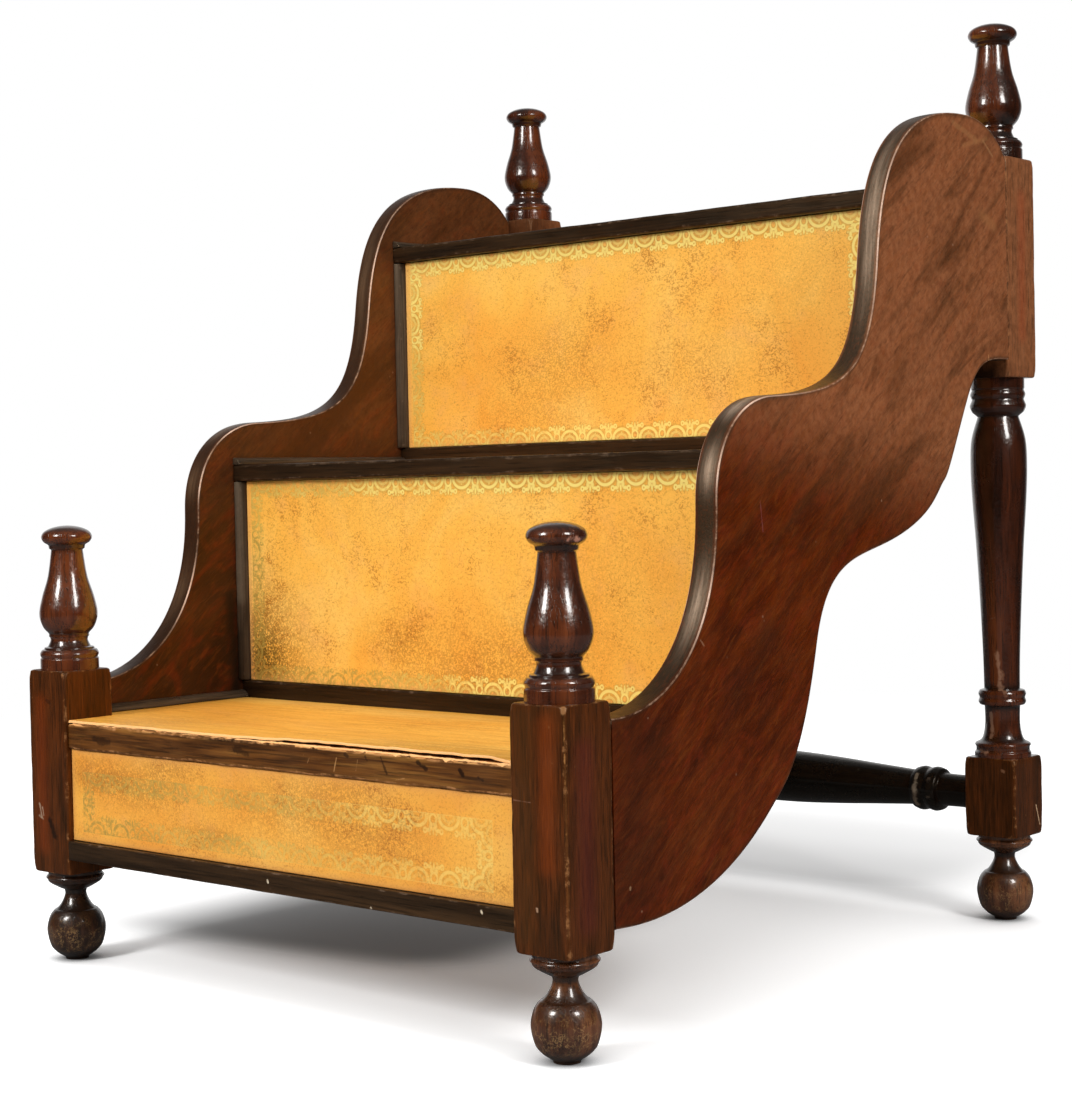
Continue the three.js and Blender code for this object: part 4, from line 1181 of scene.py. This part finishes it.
def treadLeather(stepName, seed):
    # a hide on the tread, as rings across X: its front edge is torn back by an uneven line and lifted
    # at the right
    node = stepName + "_tread_leather"
    torn = 1.0 if stepName == "low" else 0.0
    low, high = boxOf(node)
    half, thick = high[0], high[2] - low[2]
    notch = steps["postSide"] + panels["postGap"]
    narrow = steps["width"] / 2 - notch
    x = np.linspace(-half, half, 241 if torn else 81)
    if stepName != "middle":
        x = np.sort(np.concatenate([x, [-narrow - 0.05, -narrow, narrow, narrow + 0.05]]))
    wide = np.abs(x) > narrow + 0.02  # the two ends beside the posts
    begins, grows, ends = treads["liftAcross"]
    lift = np.clip((x - begins) / grows, 0, 1) * np.clip((narrow - x) / ends, 0, 1) * ~wide
    ragged = np.abs(waver(x, seed, 60, 0.9)) + np.clip(waver(x, seed + 1, 140, 1.6), 0, 1.2)
    ragged = ragged + treads["tornBack"] * lift
    frontAt, rearAt = np.full_like(x, low[1]), np.full_like(x, high[1])
    if stepName == "low":
        frontAt = np.where(wide, frontY + notch, low[1] + torn * ragged)
    if stepName == "top":
        rearAt = np.where(wide, frontY + steps["depth"] - notch, high[1])
    share = np.concatenate([[0, 0.003, 0.008, 0.016, 0.035], np.linspace(0.07, 0.97, 20), [0.99, 1]])
    y = frontAt[:, None] + (rearAt - frontAt)[:, None] * share
    fromFront = y - frontAt[:, None]
    curl = torn * np.exp(-fromFront / 5) * (treads["curl"] + np.abs(waver(x, seed + 2, 110, 0.7)))[:, None]
    lifted = torn * np.exp(-fromFront / treads["liftReach"]) * treads["lifted"] * lift[:, None]
    dips = waver(y + 0.5 * x[:, None], seed + 3, 180, 0.15) * np.clip(fromFront / 10, 0, 1)
    top = high[2] - 0.15 + dips + curl + lifted
    top[:, 0] -= 0.6
    top[:, -1] -= 0.3
    underRows = [-1, 12, 5, 3, 1, 0]
    under = np.maximum(np.where(share[None] < 0.2, top - thick + 0.5, low[2]), low[2])
    across = np.broadcast_to(x[:, None], y.shape)
    upper, lower = (np.stack([across, y, z], -1) for z in (top, under))
    rings = np.concatenate([upper, lower[:, underRows]], 1)
    tornMark = torn * np.clip(1.2 - (rings[..., 1] - frontAt[:, None]) / 2.2, 0, 1) * ~wide[:, None]
    shareY = (rings[..., 1] - low[1]) / (high[1] - low[1]) * 2 - 1
    skin(node, rings, "tread", "tread_leather", sharp=60, torn=tornMark, edge=0.0,
         stain=blobs(rings[..., 0] / half, shareY, treads["stains"]))


remains = {
    "endGaps": (4, 1), "points": 420, "tall": 0.4, "hang": 2.2, "deep": 3.2,
    "thickens": (-90, 120, 0.12),  # mm across: where it begins to thicken, over how much, and from what share
}


def tornRemains(seed):
    # the strip of old leather still stuck along the front nosing: rings across X, thin, with a ragged front
    low, high = boxOf("low_tread_nosing")
    x = np.linspace(low[0] + remains["endGaps"][0], high[0] - remains["endGaps"][1], remains["points"])
    begins, grows, least = remains["thickens"]
    here = np.clip((x - begins) / grows, least, 1)
    tall = here * (remains["tall"] + np.abs(waver(x, seed, 34, 0.7)))
    front = low[1] - 0.25 + np.abs(waver(x, seed + 1, 26, 1.6)) + 1.4 * (1 - here)
    hang = np.clip(waver(x, seed + 2, 48, 2.4) - 0.7, 0, remains["hang"]) * here
    back = low[1] + remains["deep"] + waver(x, seed + 3, 40, 0.8)
    base = np.full_like(x, high[2] - 0.4)
    corners = [
        (front, base - hang), (front - 0.1 * hang, base + 0.5 * tall),
        (front * 0.75 + back * 0.25, base + 0.4 + tall),
        (front * 0.3 + back * 0.7, base + 0.4 + 0.9 * tall), (back, base),
    ]
    rings = np.stack([np.stack([x, y, z], -1) for y, z in corners], 1)
    skin(None, rings, "tread", "tread_leather", sharp=70, name="tornLeatherEdge",
         torn=1.0, stain=0.0, edge=0.0)


for n, stepName in enumerate(("low", "middle", "top")):
    riserLeather(stepName, 300 + 10 * n)
    treadLeather(stepName, 340 + 10 * n)
    bar(stepName + "_riser_board", 0, "board", "board_wood", seed=360 + n)
tornRemains(380)
print("leathers made")

# the solids that stay: boards and glue blocks inside
for node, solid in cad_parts.items():
    if node.endswith("tread_board") or node.endswith("glue_block"):
        solid.data.materials.clear()
        solid.data.materials.append(finishes["board"])


# floor, background and lamps
studio = {
    "floorTone": 0.7, "floorSeen": 1.3, "floorMirrored": 0.1, "floorFade": (1.3, 2.2), "floorSize": 2.4,
    "nearShade": 0.3, "shadeReach": 0.07,
    # soft pools of shade under the steps: where each sets in and ends across and along (mm), how much
    # light is left, and how far it slants
    "pools": [((-480, -235), (-60, 80), (-210, -100), (60, 230), 0.26, 0.15),
              ((-460, -200), (40, 320), (-190, -40), (400, 660), 0.86, 0.0),
              ((-460, -300), (60, 240), (320, 420), (560, 950), 0.72, 0.0)],
    "horizonLight": 0.08, "zenithLight": 1.05, "behindLight": 0.5, "behindMirrored": 0.7,
    "reflectedFront": 0.02, "reflectedTop": 0.12,
    # where each soft step of the background begins and ends: upwards, and towards what lies behind
    "aboveSteps": (0.35, 0.95), "beyondSteps": (0.55, 0.96),
    "skySteps": (0.0, 0.9), "behindSteps": (0.3, 0.95),
    "lampAim": (0, 0, 0.3),
    # bearing from the camera's own (degrees, right positive), height, distance, width, tall, watts
    "frontLamp": (-50, 30, 2.6, 0.58, 0.85, 37.0), "sideLamp": (37, 30, 2.6, 0.58, 0.85, 30.5),
}


def mirroredRays(board, rays):
    # 1 for what polish or glass would mirror
    return board.most(rays["Is Glossy Ray"], rays["Is Transmission Ray"])


def makeFloor():
    # pale floor: seen a little brighter than it lights, and fading into the white background
    size = studio["floorSize"]
    mesh = bpy.data.meshes.new("floor")
    corners = [(-size, -size, 0), (size, -size, 0), (size, size, 0), (-size, size, 0)]
    mesh.from_pydata(corners, [], [(0, 1, 2, 3)])
    floor = addObject("floor", mesh)
    board = newFinish("paleFloor")
    board.tree.nodes.remove(board.tree.nodes["Principled BSDF"])
    rays = board.put("LightPath").outputs
    mirrored = mirroredRays(board, rays)
    near = board.put("AmbientOcclusion", {"Distance": studio["shadeReach"]}, samples=8).outputs["AO"]
    open = board.between(near, 0.0, 1.0, studio["nearShade"], 1.0)
    place = board.place()
    for left, right, front, rear, light, slant in studio["pools"]:
        along = board.sum("MULTIPLY_ADD", place[0], -slant, place[1])
        inside = board.between(place[0], left[0] * mm, left[1] * mm)
        sides = ((place[0], right, 1.0, 0.0), (along, front, 0.0, 1.0), (along, rear, 1.0, 0.0))
        for way, (start, end), first, last in sides:
            inside = board.times(inside, board.between(way, start * mm, end * mm, first, last))
        open = board.times(open, board.between(inside, 0.0, 1.0, 1.0, light))
    shade = board.minus(board.times(open, studio["floorSeen"]), studio["floorTone"])
    shade = board.sum("MULTIPLY_ADD", rays["Is Camera Ray"], shade, studio["floorTone"])
    shade = board.sum("MULTIPLY_ADD", mirrored, studio["floorMirrored"] - studio["floorTone"], shade)
    diffuse = board.put("BsdfDiffuse", {"Color": shade}).outputs[0]
    glow = board.plus(rays["Is Camera Ray"], board.times(mirrored, studio["reflectedFront"]))
    light = board.put("Emission", {"Color": (1, 1, 1, 1), "Strength": glow}).outputs[0]
    away = board.between(board.vector("LENGTH", board.coords), *studio["floorFade"])
    mixed = board.put("MixShader", {0: away, 1: diffuse, 2: light}).outputs[0]
    board.tree.links.new(mixed, board.tree.nodes["Material Output"].inputs["Surface"])
    mesh.materials.append(board.material)


def makeWorld():
    # soft light from above; the background is white to the camera, and to reflections behind the object
    world = bpy.data.worlds.new("studio")
    bpy.context.scene.world = world
    world.use_nodes = True
    board = Board(world.node_tree)
    direction = board.where["Generated"]
    up = board.put("SeparateXYZ", {0: direction}).outputs[2]
    behind = board.vector("DOT_PRODUCT", direction, lookout["ahead"])
    rays = board.put("LightPath").outputs
    mirrored = mirroredRays(board, rays)
    above = board.between(up, *studio["aboveSteps"], studio["reflectedFront"], studio["reflectedTop"])
    beyond = board.between(
        behind, *studio["beyondSteps"], studio["reflectedFront"], studio["behindMirrored"])
    level = board.between(up, *studio["skySteps"], studio["horizonLight"], studio["zenithLight"])
    light = board.between(behind, *studio["behindSteps"], 0.0, studio["behindLight"])
    level = board.plus(level, light)
    level = board.times(board.minus(1.0, mirrored), level)
    level = board.plus(board.times(mirrored, board.most(above, beyond)), level)
    level = board.most(level, rays["Is Camera Ray"])
    light = board.put("CombineXYZ", {0: level, 1: level, 2: level}).outputs[0]
    board.tree.links.new(light, board.tree.nodes["Background"].inputs["Color"])


def makeLamp(name, bearing, height, distance, width, tall, watts):
    data = bpy.data.lights.new(name, "AREA")
    data.shape = "RECTANGLE"
    data.size, data.size_y, data.energy = width, tall, watts
    lamp = addObject(name, data)
    ahead = -np.array(lookout["ahead"]) * (1, 1, 0)
    right = np.array(lookout["right"]) * (1, 1, 0)
    turn, up = math.radians(bearing), math.radians(height)
    way = ahead * math.cos(turn) + right * math.sin(turn)
    way = way / np.linalg.norm(way) * math.cos(up) + np.array([0, 0, math.sin(up)])
    x = np.cross([0, 0, 1], way)
    x /= np.linalg.norm(x)
    matrix = np.eye(4)
    matrix[:3] = np.stack([x, np.cross(way, x), way, np.array(studio["lampAim"]) + way * distance], -1)
    lamp.matrix_world = Matrix(matrix.tolist())


makeFloor()
makeWorld()
makeLamp("frontLamp", *studio["frontLamp"])
makeLamp("sideLamp", *studio["sideLamp"])
bpy.context.scene.view_settings.view_transform = "Standard"
print("studio made")
